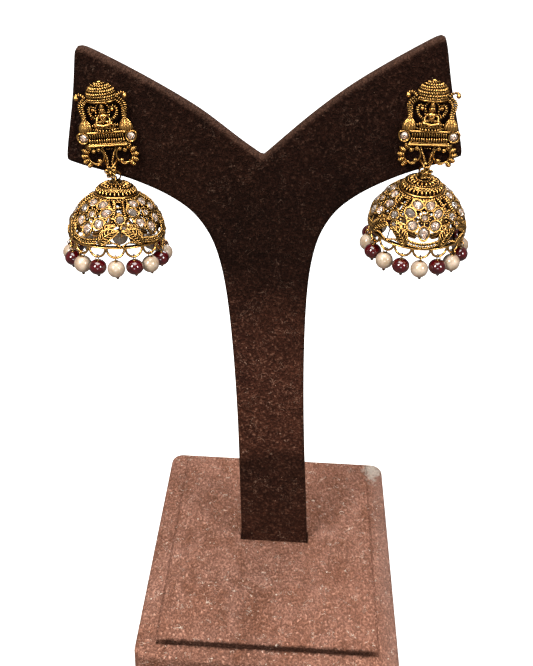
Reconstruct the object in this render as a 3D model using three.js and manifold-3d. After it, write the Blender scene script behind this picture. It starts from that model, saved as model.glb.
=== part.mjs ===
// A pair of jhumka earrings on a suede display stand, in millimetres, +Z up.
// The origin is the centre of the base's underside. The stand's front faces -Y.

import * as THREE from 'three';
import { mergeVertices } from 'three/addons/utils/BufferGeometryUtils.js';
import Module from 'manifold-3d';

const wasm = await Module();
wasm.setup();

// Display stand
const BASE = { width: 66, depth: 80, height: 15, corner: 3.5, bevel: 1 };
const GROOVE = { inset: 5.1, width: 0.9, frontWidth: 1.3, depth: 0.8, backMargin: 2 };
const BOARD = { front: 3.3, thickness: 4, bevel: 1.1, lean: 3.57, footX: 0.4, tenon: 8 };
const SEAT_GAP = 0.3;
const NOTCH_HEIGHT = 114.6;

// Half outline of the board: height above the base's top, half width. The first part runs
// from the foot to the outer lower corner, then up the outer side, then down to the notch.
const ARM_UNDERSIDE = [
  { height: 0, half: 9.3 },
  { height: 44, half: 8.7 },
  { height: 74, half: 9.4 },
  { height: 90, half: 11.3 },
  { height: 99, half: 15.0 },
  { height: 104.6, half: 20.8 },
  { height: 109.3, half: 30.0 },
  { height: 112.9, half: 41.0 },
];
const ARM_SIDE = [
  { height: 113.8, half: 43.3 },
  { height: 115.6, half: 43.9 },
  { height: 128.4, half: 41.0 },
  { height: 138.4, half: 38.9 },
  { height: 140.1, half: 38.3 },
];
const ARM_TOP = [
  { height: 140.6, half: 36.9 },
  { height: 130.2, half: 17.4 },
  { height: 115.0, half: 0.5 },
];

// Earrings: hang is the plane of the drop, measured from the board's front face
const HANG = 2.0;
const EARRINGS = [
  {
    side: 'left', studX: -40.05, studZ: 125.4, studLean: -6.5, dropX: -39.3,
    capTop: 123.2, nod: -6, panelTurn: 15, firstBead: 8,
  },
  {
    side: 'right', studX: 29.3, studZ: 129.05, studLean: -0.9, dropX: 29.0,
    capTop: 127.8, nod: 6, panelTurn: -43, firstBead: 2,
  },
];

// Wires of the chain from the stud to the bell
const EYE = { radius: 0.7, wire: 0.25 };
const RING = { radius: 1.05, wire: 0.3 };
const LINK_GAP = 0.12;
const LINK_DROP = EYE.wire + RING.wire + LINK_GAP;
const CAP_TO_EYE = 0.55;

// Bell, measured down from the top of its cap
const DOME = { radius: 10.9, rise: 8.4, centre: 11.0, top: 31, rim: 100 };
const PANELS = 4;
const SHEET = { front: 0.3, back: -0.45, rimFront: 0.45, rimBack: -0.65 };
const ROSETTE = { phi: 56, ring: 3.15, petals: 7, stone: 1.33, table: 0.75, lowest: 3.45 };
const CENTRE_STONE = { radius: 0.8, table: 0.5 };
const BRIGHT = { phi: 61, radius: 1.15, table: 0.65 };
const STONE_HEIGHT = 0.75;
const STONE_TURN = 26;
const EDGE_BULGE = 0.3;
const SEAM_FOOT = 97;

// Profiles of the cap, from the top edge of the dome to its axis: [radius, height]
const CAP_OUTSIDE = [[6.2, -3.5], [4.95, -3.0], [3.8, -1.6], [3.6, -1.1], [1.35, -0.85],
  [1.2, -0.7], [0, -0.7]];
const CAP_INSIDE = [[3.0, -2.9], [0, -1.9]];
const LADDER_SLOTS = { half: 0.55, taper: 0.5, spans: [[34.5, 42], [44, 52]] };

// Gaps cut through the right half of a panel, in millimetres from the middle of its
// rosette: [across, up]. The left half is their mirror image.
const SIDE_GAPS = {
  besideRibs: [[2.95, 3.35], [3.45, 3.25], [5.2, 0.9], [4.8, 0.3], [4.2, 2.2]],
  belowBrightStone: [[4.6, -0.65], [6.2, -0.8], [6.4, -2.0], [5.4, -3.0], [4.2, -2.6]],
  aboveSwag: [[1.7, -4.9], [3.4, -4.65], [4.9, -4.0], [4.3, -3.4], [1.75, -3.75]],
  belowSwag: [[3.6, -6.2], [5.3, -5.55], [6.35, -6.45], [3.5, -6.6]],
};
const TOP_GAP = [[0.85, 0.5], [0, 0.98], [-0.85, 0.5], [-1.39, 0.8], [-0.55, 1.5], [0.55, 1.5],
  [1.39, 0.8]];

// Scallops below the rim, and the beads on them
const SCALLOPS = 16;
const SCALLOP = { drop: 2.2, wire: 0.5, front: 0.15, back: -0.35, root: 0.15, tilt: 0.07 };
const BEAD_EYE = { radius: 1.0, wire: 0.2, low: 0.35, open: 62 };
const PEARL = { radius: 2.0, height: 2.0 };
const RED_BEAD = { radius: 2.0, height: 1.78 };

// Stud, measured up from the centre of its flower, with its back on the board
const CAST = { relief: 0.9, canopyFoot: 15.7, tasselHalf: 4.45, scrollHalf: 3.2, flowerOut: 3.3 };
const POST = { radius: 0.45, height: 12, length: 9.2 };
const NUT = { radius: 2.4, thickness: 2.2, gap: 0.3 };

const MATERIALS = {
  suede: new THREE.MeshStandardMaterial({ color: 0x3a2018, roughness: 0.95, metalness: 0 }),
  baseSuede: new THREE.MeshStandardMaterial({ color: 0x7c4e40, roughness: 0.95, metalness: 0 }),
  gold: new THREE.MeshStandardMaterial({ color: 0xb8892f, roughness: 0.35, metalness: 1 }),
  pearl: new THREE.MeshStandardMaterial({ color: 0xe0cbb0, roughness: 0.2, metalness: 0 }),
  red: new THREE.MeshStandardMaterial({ color: 0x5a0a14, roughness: 0.08, metalness: 0 }),
};

const radians = THREE.MathUtils.degToRad;

// A closed three.js geometry as a solid, after an optional placement
function solid(geometry, matrix) {
  const copy = geometry.index ? geometry.toNonIndexed() : geometry.clone();
  copy.deleteAttribute('normal');
  copy.deleteAttribute('uv');
  if (matrix) copy.applyMatrix4(matrix);
  const merged = mergeVertices(copy, 1e-4);
  return new wasm.Manifold(new wasm.Mesh({
    numProp: 3,
    vertProperties: new Float32Array(merged.attributes.position.array),
    triVerts: new Uint32Array(merged.index.array),
  }));
}

function fuse(solids) {
  return solids.reduce((whole, piece) => whole.add(piece));
}

function mesh(name, body, material) {
  const data = body.getMesh();
  const geometry = new THREE.BufferGeometry();
  geometry.setAttribute('position', new THREE.Float32BufferAttribute(data.vertProperties, 3));
  geometry.setIndex(Array.from(data.triVerts));
  geometry.computeVertexNormals();
  const result = new THREE.Mesh(geometry, material);
  result.name = name;
  return result;
}

function at(x, y, z, turnX = 0, turnY = 0, turnZ = 0, scale = [1, 1, 1]) {
  const turn = new THREE.Euler(radians(turnX), radians(turnY), radians(turnZ));
  return new THREE.Matrix4().compose(
    new THREE.Vector3(x, y, z),
    new THREE.Quaternion().setFromEuler(turn),
    new THREE.Vector3(...scale),
  );
}

const points3 = (rows) => rows.map((row) => new THREE.Vector3(...row));
const points2 = (rows) => rows.map((row) => new THREE.Vector2(...row));

// A ball, or a squashed ball, with its poles up and down
function ball(radius, x, y, z, sides = 10, rows = 5, scale = [1, 1, 1]) {
  return solid(new THREE.SphereGeometry(radius, sides, rows), at(x, y, z, 90, 0, 0).multiply(
    new THREE.Matrix4().makeScale(scale[0], scale[2], scale[1])));
}

// A body turned about the Z axis; the rows are [radius, height], upwards
function turned(rows, sides, matrix) {
  const geometry = new THREE.LatheGeometry(points2(rows), sides);
  geometry.rotateX(Math.PI / 2);
  return solid(geometry, matrix);
}

// A closed wire ring about the Z axis
function wireRing(radius, wire, sides, wireSides, matrix) {
  const rows = [];
  for (let i = 0; i <= wireSides; i += 1) {
    const angle = ((i % wireSides) / wireSides) * 2 * Math.PI;
    rows.push([radius + wire * Math.cos(angle), wire * Math.sin(angle)]);
  }
  return turned(rows, sides, matrix);
}

// A bar of even section along a smooth line through the given points
function wireAlong(rows, wire, wireSides, steps, matrix) {
  const section = new THREE.Shape();
  for (let i = 0; i < wireSides; i += 1) {
    const angle = (i / wireSides) * 2 * Math.PI;
    const [x, y] = [wire * Math.cos(angle), wire * Math.sin(angle)];
    if (i === 0) section.moveTo(x, y);
    else section.lineTo(x, y);
  }
  const path = new THREE.CatmullRomCurve3(points3(rows));
  const geometry = new THREE.ExtrudeGeometry(section, { steps, extrudePath: path });
  return solid(geometry, matrix);
}

function block(width, depth, height, x, y, z, turnY = 0) {
  return solid(new THREE.BoxGeometry(width, depth, height), at(x, y, z, 0, turnY, 0));
}

// A cut stone standing in its bezel: eight facets and a table, along +Z
function stone(radius, table, height, sink, matrix) {
  return turned([[0, -sink], [radius, -sink], [table, height], [0, height]], 8, matrix);
}

// Display stand

function roundedRectangle(width, depth, corner) {
  const [x, y] = [width / 2, depth / 2];
  const shape = new THREE.Shape();
  shape.moveTo(-x + corner, -y);
  shape.lineTo(x - corner, -y);
  shape.absarc(x - corner, -y + corner, corner, -Math.PI / 2, 0);
  shape.lineTo(x, y - corner);
  shape.absarc(x - corner, y - corner, corner, 0, Math.PI / 2);
  shape.lineTo(-x + corner, y);
  shape.absarc(-x + corner, y - corner, corner, Math.PI / 2, Math.PI);
  shape.lineTo(-x, -y + corner);
  shape.absarc(-x + corner, -y + corner, corner, Math.PI, 1.5 * Math.PI);
  return shape;
}

function boardOutline() {
  const along = (rows) => rows.map(({ height, half }) => new THREE.Vector2(half, height));
  const half = [
    new THREE.Vector2(ARM_UNDERSIDE[0].half, -BOARD.tenon),
    ...new THREE.SplineCurve(along(ARM_UNDERSIDE)).getPoints(11),
    ...along(ARM_SIDE),
    ...new THREE.SplineCurve(along(ARM_TOP)).getPoints(4),
  ];
  const mirrored = half.map((p) => new THREE.Vector2(-p.x, p.y)).reverse();
  return new THREE.Shape([...half, new THREE.Vector2(0, NOTCH_HEIGHT), ...mirrored]);
}

// From the board's own upright frame to where it leans on the base
const boardPlace = at(BOARD.footX, 0, BASE.height, 0, -BOARD.lean, 0);

function postPlace({ studX, studZ, studLean }) {
  return at(studX, 0, studZ, 0, studLean, 0);
}

function makeBoard() {
  const { bevel, thickness, front } = BOARD;
  const geometry = new THREE.ExtrudeGeometry(boardOutline(), {
    depth: thickness - 2 * bevel, steps: 1, curveSegments: 4,
    bevelEnabled: true, bevelSize: bevel, bevelOffset: -bevel, bevelThickness: bevel,
    bevelSegments: 1,
  });
  geometry.rotateX(Math.PI / 2);
  geometry.translate(0, front + thickness - bevel, 0);
  let board = solid(geometry, boardPlace);
  for (const earring of EARRINGS) {
    const hole = new THREE.CylinderGeometry(POST.radius + SEAT_GAP, POST.radius + SEAT_GAP, 20, 8);
    const place = postPlace(earring).multiply(at(0, front, POST.height));
    board = board.subtract(solid(hole, place));
  }
  return board;
}

function makeBase() {
  const { width, depth, height, corner, bevel } = BASE;
  const geometry = new THREE.ExtrudeGeometry(roundedRectangle(width, depth, corner), {
    depth: height - 2 * bevel, steps: 1, curveSegments: 2,
    bevelEnabled: true, bevelSize: bevel, bevelOffset: -bevel, bevelThickness: bevel,
    bevelSegments: 1,
  });
  geometry.translate(0, 0, bevel);
  let base = solid(geometry);
  const inner = width / 2 - GROOVE.inset;
  const frontEnd = -depth / 2 + GROOVE.inset;
  const length = depth - GROOVE.inset - GROOVE.backMargin;
  const cuts = [-inner, inner].map((x) => (
    block(GROOVE.width, length, 2 * GROOVE.depth, x, frontEnd + length / 2, height)));
  cuts.push(block(2 * inner, GROOVE.frontWidth, 2 * GROOVE.depth, 0, frontEnd, height));
  for (const cut of cuts) base = base.subtract(cut);
  const slotWidth = 2 * (ARM_UNDERSIDE[0].half + SEAT_GAP);
  const slotDepth = BOARD.thickness + 2 * SEAT_GAP;
  const slotHeight = 2 * (BOARD.tenon + SEAT_GAP);
  const slot = solid(
    new THREE.BoxGeometry(slotWidth, slotDepth, slotHeight),
    boardPlace.clone().multiply(at(0, BOARD.front + BOARD.thickness / 2, 0)));
  return base.subtract(slot);
}

// Stud: a canopy over a seated figure, between two tasselled pillars, on a ribbed platform

function canopy() {
  const rows = [
    [0, -0.3], [3.3, -0.3], [3.5, 0.1], [3.1, 0.5], [3.15, 1.1], [2.6, 1.4], [2.4, 2.4],
    [1.6, 3.4], [0, 4.05],
  ];
  const dome = turned(rows, 10, at(0, 0, CAST.canopyFoot, 0, 0, 0, [1, 0.72, 1]));
  return dome.subtract(block(20, 10, 20, 0, 5, CAST.canopyFoot));
}

function tassel(side) {
  const rows = [[0, -1.8], [1.0, -1.8], [1.4, -0.8], [1.2, 0.2], [0.4, 1.5], [0, 1.5]];
  return turned(rows, 8, at(side * CAST.tasselHalf, -CAST.relief, 10.1, 0, 0, 0, [1, 0.6, 1]));
}

function pillar(side) {
  const line = [
    [side * 5.6, -CAST.relief, 16.6],
    [side * 4.0, -CAST.relief, 16.5],
    [side * 3.4, -CAST.relief, 15.8],
    [side * 4.7, -CAST.relief, 14.7],
    [side * 4.6, -CAST.relief, 12.8],
    [side * CAST.tasselHalf, -CAST.relief, 11.3],
  ];
  return wireAlong(line, 0.6, 5, 6).add(tassel(side));
}

function armScroll(side) {
  const line = [
    [side * 1.2, -CAST.relief, 10.9],
    [side * 2.4, -CAST.relief, 11.6],
    [side * 3.05, -CAST.relief, 13.0],
    [side * 2.6, -CAST.relief, 14.3],
    [side * 2.0, -CAST.relief, 13.5],
  ];
  return wireAlong(line, 0.34, 5, 5);
}

// A seated figure in plain masses, on a lotus
function figure() {
  const bust = [
    [0, 0], [0.95, 0], [1.15, 1.1], [0.4, 1.7], [0.4, 1.9], [0.75, 2.4], [0.6, 2.9],
    [0.2, 3.5], [0, 3.5],
  ];
  const lotus = [[0, -0.8], [2.0, -0.8], [2.55, 0.7], [0, 0.7]];
  return fuse([
    turned(bust, 8, at(0, -1.15, 10.9, 0, 0, 0, [1, 0.9, 1])),
    ball(1, 0, -1.35, 10.65, 8, 4, [1.95, 0.85, 0.6]),
    turned(lotus, 8, at(0, -1.1, 9.4, 0, 0, 0, [1, 0.42, 1])),
  ]);
}

// One course of the platform: a bar whose front is a row of upright ribs
function ribbedCourse(halfWidth, depth, height, z, ribs) {
  const shape = new THREE.Shape();
  const pitch = (2 * halfWidth) / ribs;
  shape.moveTo(-halfWidth, 0);
  for (let i = 0; i < ribs; i += 1) {
    const x = -halfWidth + i * pitch;
    shape.lineTo(x + 0.05 * pitch, -depth + 0.35);
    shape.lineTo(x + 0.5 * pitch, -depth);
  }
  shape.lineTo(halfWidth, -depth + 0.35);
  shape.lineTo(halfWidth, 0);
  const geometry = new THREE.ExtrudeGeometry(shape, { depth: height, bevelEnabled: false });
  return solid(geometry, at(0, 0, z));
}

function platform() {
  const stones = [-1, 1].map((side) => (
    stone(1.15, 0.65, 0.8, CAST.relief, at(side * 5.3, -CAST.relief, 7.3, 90, 0, 0))));
  return fuse([
    block(9.4, 1.9, 0.4, 0, -0.95, 8.45),
    ribbedCourse(3.45, 1.6, 1.2, 7.15, 6),
    ribbedCourse(4.3, 2.1, 1.2, 5.95, 8),
    block(8.8, 2.2, 0.4, 0, -1.1, 5.8),
    ...stones,
  ]);
}

// A flat plate with an outline and holes, its front turned to -Y
function plate(outline, holes, thickness, middle) {
  const shape = new THREE.Shape(points2(outline));
  shape.holes = holes.map((hole) => new THREE.Path(points2(hole)));
  const geometry = new THREE.ExtrudeGeometry(shape, { depth: thickness, bevelEnabled: false });
  return solid(geometry, at(0, middle + thickness / 2, 0, 90, 0, 0));
}

// A loop with shells round its outer side, and the brace from the platform to the flower
function lowerScroll(side) {
  const centre = { x: side * CAST.scrollHalf, z: 3.1 };
  const onLoop = (angle, reach) => [
    centre.x + side * reach * Math.cos(radians(angle)),
    centre.z + reach * Math.sin(radians(angle)),
  ];
  const shells = [43, 5, -33, -71].flatMap((angle) => [
    onLoop(angle + 15, 2.9), onLoop(angle - 15, 2.9), onLoop(angle - 19, 2.4),
  ]);
  const bare = [-120, -165, -215, -260].map((angle) => onLoop(angle, 2.15));
  const rim = [...shells, ...bare];
  const opening = [-210, -150, -90, -30, 30, 90].map((angle) => onLoop(angle, 1.4));
  const [x, top] = [centre.x, 5.9];
  const neck = [[x - 0.6, 4.9], [x + 0.6, 4.9], [x + 0.6, top], [x - 0.6, top]];
  const brace = [
    [side * 1.9, -0.6, 5.8],
    [side * 0.8, -1.5, 2.7],
    [side * 0.25, 0.2 - CAST.flowerOut, 0.4],
  ];
  return fuse([
    plate(rim, [opening], 1.1, -CAST.relief),
    plate(neck, [], 0.9, -CAST.relief),
    wireAlong(brace, 0.34, 5, 2),
  ]);
}

function flower() {
  const outline = Array.from({ length: 15 }, (_, i) => {
    const angle = radians(90 + (i - 1) * 24);
    const reach = i % 3 === 0 ? 0.75 : 1.4;
    return [reach * Math.cos(angle - 0.2 * ((i % 3) - 1.5)), reach * Math.sin(angle
      - 0.2 * ((i % 3) - 1.5))];
  });
  return fuse([
    plate(outline, [], 0.7, -CAST.flowerOut),
    solid(new THREE.OctahedronGeometry(0.6), at(0, -CAST.flowerOut - 0.3, 0)),
  ]);
}

function makeStud(earring) {
  const { studX, studZ, studLean, dropX } = earring;
  const upright = fuse([
    canopy(), figure(), platform(), flower(),
    ...[-1, 1].flatMap((side) => [pillar(side), armScroll(side), lowerScroll(side)]),
  ]);
  const bridge = block(2.4, 1.2, 0.9, 0, -0.6, POST.height);
  const post = solid(new THREE.CylinderGeometry(POST.radius, POST.radius, POST.length, 6),
    at(0, POST.length / 2 - 0.5, POST.height));
  const cast = fuse([upright, bridge, post]);
  const backY = BOARD.front - SEAT_GAP;
  const placed = cast.transform(Array.from(at(studX, backY, studZ, 0, studLean, 0).elements));
  const eye = eyeHeight(earring);
  const hangY = BOARD.front - HANG;
  const linkDepth = 2.6;
  const link = block(2.0, linkDepth, 0.6, dropX, backY - linkDepth / 2,
    eye + 2 * EYE.radius + 0.15);
  const eyeRing = wireRing(EYE.radius, EYE.wire, 10, 5,
    at(dropX, hangY, eye + EYE.radius, 0, 90, 0));
  return fuse([placed, link, eyeRing]);
}

// Height of the bottom wire of the stud's eye, from which the ring hangs
function eyeHeight({ capTop }) {
  return capTop + CAP_TO_EYE + 2 * RING.radius - 2 * LINK_DROP;
}

function makeNut(earring) {
  const inner = POST.radius + SEAT_GAP;
  const rows = [
    [inner, 0], [NUT.radius, 0], [NUT.radius, NUT.thickness], [inner, NUT.thickness], [inner, 0],
  ];
  const y = BOARD.front + BOARD.thickness + NUT.gap;
  return turned(rows, 8, postPlace(earring).multiply(at(0, y, POST.height, -90, 0, 0)));
}

function makeJumpRing(earring) {
  const centre = eyeHeight(earring) + LINK_DROP - RING.radius;
  return wireRing(RING.radius, RING.wire, 10, 5,
    at(earring.dropX, BOARD.front - HANG, centre, 90, 0, 0));
}

// Bell: heights are measured up from the top of the cap, so they are negative

function domePoint(phi, lift = 0) {
  const angle = radians(phi);
  const normal = new THREE.Vector2(DOME.rise * Math.sin(angle), DOME.radius * Math.cos(angle))
    .normalize();
  const r = DOME.radius * Math.sin(angle) + lift * normal.x;
  const z = -DOME.centre + DOME.rise * Math.cos(angle) + lift * normal.y;
  return { r, z, normal };
}

function onDome(azimuth, phi, lift = 0) {
  const { r, z, normal } = domePoint(phi, lift);
  const turn = radians(azimuth);
  const out = new THREE.Vector3(normal.x * Math.sin(turn), -normal.x * Math.cos(turn), normal.y);
  const right = new THREE.Vector3(Math.cos(turn), Math.sin(turn), 0);
  const rise = new THREE.Vector3().crossVectors(out, right);
  return new THREE.Matrix4().makeBasis(right, rise, out)
    .setPosition(r * Math.sin(turn), -r * Math.cos(turn), z);
}

// Degrees of phi for each millimetre along the dome
const PHI_PER_MM = THREE.MathUtils.radToDeg(2 / (DOME.radius + DOME.rise));

// A place on a panel as [azimuth, -phi], from millimetres about the middle of its rosette
function onPanel([across, up]) {
  const phi = ROSETTE.phi - up * PHI_PER_MM;
  return new THREE.Vector2(THREE.MathUtils.radToDeg(across / domePoint(phi).r), -phi);
}

function octagon(across, up, radius, stretch = 1) {
  const corners = [];
  for (let i = 0; i < 8; i += 1) {
    const angle = radians(STONE_TURN + i * 45);
    corners.push(onPanel([
      across + radius * Math.cos(angle), up + stretch * radius * Math.sin(angle)]));
  }
  return corners;
}

// The outline of one panel, and its points on the seams with the panels beside it. The seams
// run down the middle of the pairs of ribs, which have half of the slots between them on each
// side, and lean over at the rim to where two scallops meet.
function panelOutline(lean) {
  const edge = 180 / PANELS;
  const count = SCALLOPS / PANELS;
  const half = edge / count;
  const rimDepth = (azimuth) => DOME.rim + EDGE_BULGE * (1 - (azimuth / edge) ** 2);
  const scallopArc = (middle, width, drop) => [1, 2, 3].map((step) => {
    const angle = (step * Math.PI) / 4;
    return [middle + lean - width * Math.cos(angle), -rimDepth(middle) - drop * Math.sin(angle)];
  });
  const bottom = [];
  const openings = [];
  for (let i = 0; i < count; i += 1) {
    const middle = (2 * i + 1) * half - edge;
    const grow = SCALLOP.wire / 2;
    const inner = half - THREE.MathUtils.radToDeg(SCALLOP.wire / DOME.radius);
    bottom.push([middle - half + lean, -rimDepth(middle - half)]);
    bottom.push(...scallopArc(middle, half, SCALLOP.drop + grow));
    const root = -rimDepth(middle) - SCALLOP.root;
    openings.push(points2([
      [middle + lean - inner, root], ...scallopArc(middle, inner, SCALLOP.drop - grow),
      [middle + lean + inner, root - SCALLOP.tilt],
    ]));
  }
  bottom.push([edge + lean, -rimDepth(edge)]);
  const slots = LADDER_SLOTS.spans.flatMap(([from, to]) => {
    const inset = (phi) => THREE.MathUtils.radToDeg(LADDER_SLOTS.half / domePoint(phi).r);
    const { taper } = LADDER_SLOTS;
    return [[edge, -from], [edge - inset(from), -from - taper], [edge - inset(to), -to + taper],
      [edge, -to]];
  });
  const rightEdge = [...slots, [edge, -SEAM_FOOT]];
  const leftEdge = rightEdge.map(([azimuth, depth]) => [-azimuth, depth]);
  const top = Array.from({ length: 5 }, (_, i) => {
    const azimuth = edge - (i * edge) / 2;
    return new THREE.Vector2(azimuth, -DOME.top + EDGE_BULGE * (1 - (azimuth / edge) ** 2));
  });
  const outline = [
    ...points2(bottom), ...points2(rightEdge).reverse(), ...top, ...points2(leftEdge),
  ];
  const onSeam = (point) => outline.includes(point) && (Math.abs(point.x) === edge
    || point === outline[0] || point === outline[bottom.length - 1]);
  return { outline, openings, top, onSeam };
}

function panelStones() {
  const stones = [{ across: 0, up: 0, ...CENTRE_STONE, stretch: 1 }];
  for (let i = 0; i < ROSETTE.petals; i += 1) {
    const angle = radians(-90 + (i * 360) / ROSETTE.petals);
    const lowest = i === 0;
    const reach = lowest ? ROSETTE.lowest : ROSETTE.ring;
    stones.push({
      across: reach * Math.cos(angle), up: reach * Math.sin(angle),
      radius: ROSETTE.stone, table: ROSETTE.table, stretch: lowest ? 1.2 : 1,
    });
  }
  return stones;
}

// The triangles of a flat region with holes, all turning left, or all turning right
function flatTriangles(outline, holes, left) {
  const all = [outline, ...holes].flat();
  const triangles = THREE.ShapeUtils.triangulateShape(outline, holes)
    .map((corners) => corners.map((corner) => all[corner]));
  const area = triangles.reduce((sum, triangle) => sum + THREE.ShapeUtils.area(triangle), 0);
  return triangles.map(([a, b, c]) => ((area > 0) === left ? [a, b, c] : [a, c, b]));
}

// The pierced shell of the dome: each panel is a sheet with gaps, and its stones grow out of it
function piercedShell(lean) {
  const { outline, openings, top, onSeam } = panelOutline(lean);
  const gaps = [TOP_GAP.map(onPanel), ...openings];
  for (const rows of Object.values(SIDE_GAPS)) {
    gaps.push(rows.map(onPanel));
    gaps.push(rows.map(([across, up]) => onPanel([-across, up])));
  }
  for (const gap of gaps) if (!THREE.ShapeUtils.isClockWise(gap)) gap.reverse();
  const stones = panelStones();
  const seats = stones.map(({ across, up, radius, stretch }) => (
    octagon(across, up, radius, stretch)));
  const corners = [];
  const place = (p, liftOf, turn) => {
    const below = Math.max(0, -p.y - DOME.rim);
    const { r, z } = domePoint(Math.min(-p.y, DOME.rim), liftOf(below, -p.y));
    const angle = radians(p.x + turn);
    return [r * Math.sin(angle), -r * Math.cos(angle), z - below];
  };
  const isRim = (phi) => phi > DOME.rim - EDGE_BULGE;
  const frontLift = (below, phi) => {
    if (below > EDGE_BULGE) return SCALLOP.front;
    return isRim(phi) ? SHEET.rimFront : SHEET.front;
  };
  const backLift = (below, phi) => {
    if (below > EDGE_BULGE) return SCALLOP.back;
    return isRim(phi) ? SHEET.rimBack : SHEET.back;
  };
  const outer = (p, turn) => place(p, frontLift, turn);
  const inner = (p, turn) => place(p, backLift, turn);
  const onRing = ([r, z], p, turn) => {
    const angle = radians(p.x + turn);
    return [r * Math.sin(angle), -r * Math.cos(angle), z];
  };
  const closeCap = (rows, side, p, q, turn) => {
    let [a, b] = [side(p, turn), side(q, turn)];
    for (const row of rows) {
      const [c, d] = [onRing(row, p, turn), onRing(row, q, turn)];
      corners.push(b, a, c);
      if (row[0] > 0) corners.push(b, c, d);
      [a, b] = [c, d];
    }
  };
  const faces = [
    { side: outer, triangles: flatTriangles(outline, [...gaps, ...seats], true) },
    { side: inner, triangles: flatTriangles(outline, gaps, false) },
  ];
  for (let panel = 0; panel < PANELS; panel += 1) {
    const turn = (panel * 360) / PANELS;
    for (const { side, triangles } of faces) {
      for (const triangle of triangles) corners.push(...triangle.map((p) => side(p, turn)));
    }
    for (const loop of [outline, ...gaps]) {
      loop.forEach((p, i) => {
        const q = loop[(i + 1) % loop.length];
        if (top.includes(p) && top.includes(q)) {
          closeCap(CAP_OUTSIDE, outer, p, q, turn);
          closeCap(CAP_INSIDE, inner, q, p, turn);
          return;
        }
        if (onSeam(p) && onSeam(q)) return;
        corners.push(inner(p, turn), inner(q, turn), outer(q, turn));
        corners.push(inner(p, turn), outer(q, turn), outer(p, turn));
      });
    }
    stones.forEach(({ across, up, table, stretch }, n) => {
      const raised = octagon(across, up, table, stretch)
        .map((p) => place(p, () => SHEET.front + STONE_HEIGHT, turn));
      const low = seats[n].map((p) => outer(p, turn));
      for (let i = 0; i < 8; i += 1) {
        const next = (i + 1) % 8;
        corners.push(low[i], low[next], raised[next], low[i], raised[next], raised[i]);
        if (i > 1) corners.push(raised[0], raised[i - 1], raised[i]);
      }
    });
  }
  const geometry = new THREE.BufferGeometry();
  geometry.setAttribute('position', new THREE.Float32BufferAttribute(corners.flat(), 3));
  return solid(geometry);
}

function bellPlace({ dropX, capTop, nod }) {
  const pivot = at(dropX, BOARD.front - HANG, capTop + CAP_TO_EYE - LINK_DROP, nod, 0, 0);
  return pivot.multiply(at(0, 0, LINK_DROP - CAP_TO_EYE));
}

function makeBell(earring) {
  const seam = earring.panelTurn + 180 / PANELS;
  const pitch = 360 / SCALLOPS;
  const lean = THREE.MathUtils.euclideanModulo(earring.firstBead - earring.panelTurn, pitch)
    - pitch / 2;
  const spin = new THREE.Matrix4().makeRotationZ(radians(seam));
  const pieces = [piercedShell(lean).transform(Array.from(spin.elements))];
  for (let panel = 0; panel < PANELS; panel += 1) {
    const azimuth = earring.panelTurn + (panel * 360) / PANELS;
    pieces.push(stone(BRIGHT.radius, BRIGHT.table, STONE_HEIGHT, 0.5,
      onDome(azimuth, BRIGHT.phi, SHEET.front)));
  }
  pieces.push(wireRing(EYE.radius, EYE.wire, 10, 5, at(0, 0, CAP_TO_EYE - EYE.radius, 0, 90, 0)));
  return fuse(pieces).transform(Array.from(bellPlace(earring).elements));
}

// A bead with its wire eye round the bottom of a scallop; it hangs upright
function makeBead(earring, index) {
  const shape = index % 2 === 0 ? PEARL : RED_BEAD;
  const azimuth = earring.firstBead + (index * 360) / SCALLOPS;
  const turn = radians(azimuth);
  const { r, z } = domePoint(DOME.rim, (SHEET.rimFront + SHEET.rimBack) / 2);
  const bottom = new THREE.Vector3(r * Math.sin(turn), -r * Math.cos(turn), z - SCALLOP.drop)
    .applyMatrix4(bellPlace(earring));
  const { radius, wire, low, open } = BEAD_EYE;
  const line = Array.from({ length: 5 }, (_, step) => {
    const angle = radians(-open + (step * (180 + 2 * open)) / 4);
    return [0, radius * Math.cos(angle), radius * Math.sin(angle)];
  });
  const body = [[0, -1], [0.7, -0.71], [1, 0.12], [0.5, 0.87], [0, 0.87]];
  const seat = body[body.length - 1][1];
  const top = -radius * Math.sin(radians(open)) + wire / 2;
  const bead = fuse([
    turned(body, 10, at(0, 0, top - seat * shape.height, 0, 0, 0,
      [shape.radius, shape.radius, shape.height])),
    wireAlong(line, wire, 5, 4),
  ]);
  return bead.transform(Array.from(
    at(bottom.x, bottom.y, bottom.z - low, 0, 0, azimuth).elements));
}

const group = new THREE.Group();
group.add(mesh('base', makeBase(), MATERIALS.baseSuede));
group.add(mesh('board', makeBoard(), MATERIALS.suede));
for (const earring of EARRINGS) {
  const { side } = earring;
  group.add(mesh(`stud_${side}`, makeStud(earring), MATERIALS.gold));
  group.add(mesh(`post_nut_${side}`, makeNut(earring), MATERIALS.gold));
  group.add(mesh(`jump_ring_${side}`, makeJumpRing(earring), MATERIALS.gold));
  group.add(mesh(`bell_${side}`, makeBell(earring), MATERIALS.gold));
  for (let index = 0; index < SCALLOPS; index += 1) {
    const isPearl = index % 2 === 0;
    const name = `${isPearl ? 'pearl' : 'red_bead'}_${side}_${Math.floor(index / 2) + 1}`;
    group.add(mesh(name, makeBead(earring, index), isPearl ? MATERIALS.pearl : MATERIALS.red));
  }
}

export default group;
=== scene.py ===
import math

import bpy
import numpy as np
from mathutils import Matrix, Vector
from mathutils.geometry import tessellate_polygon


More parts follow.
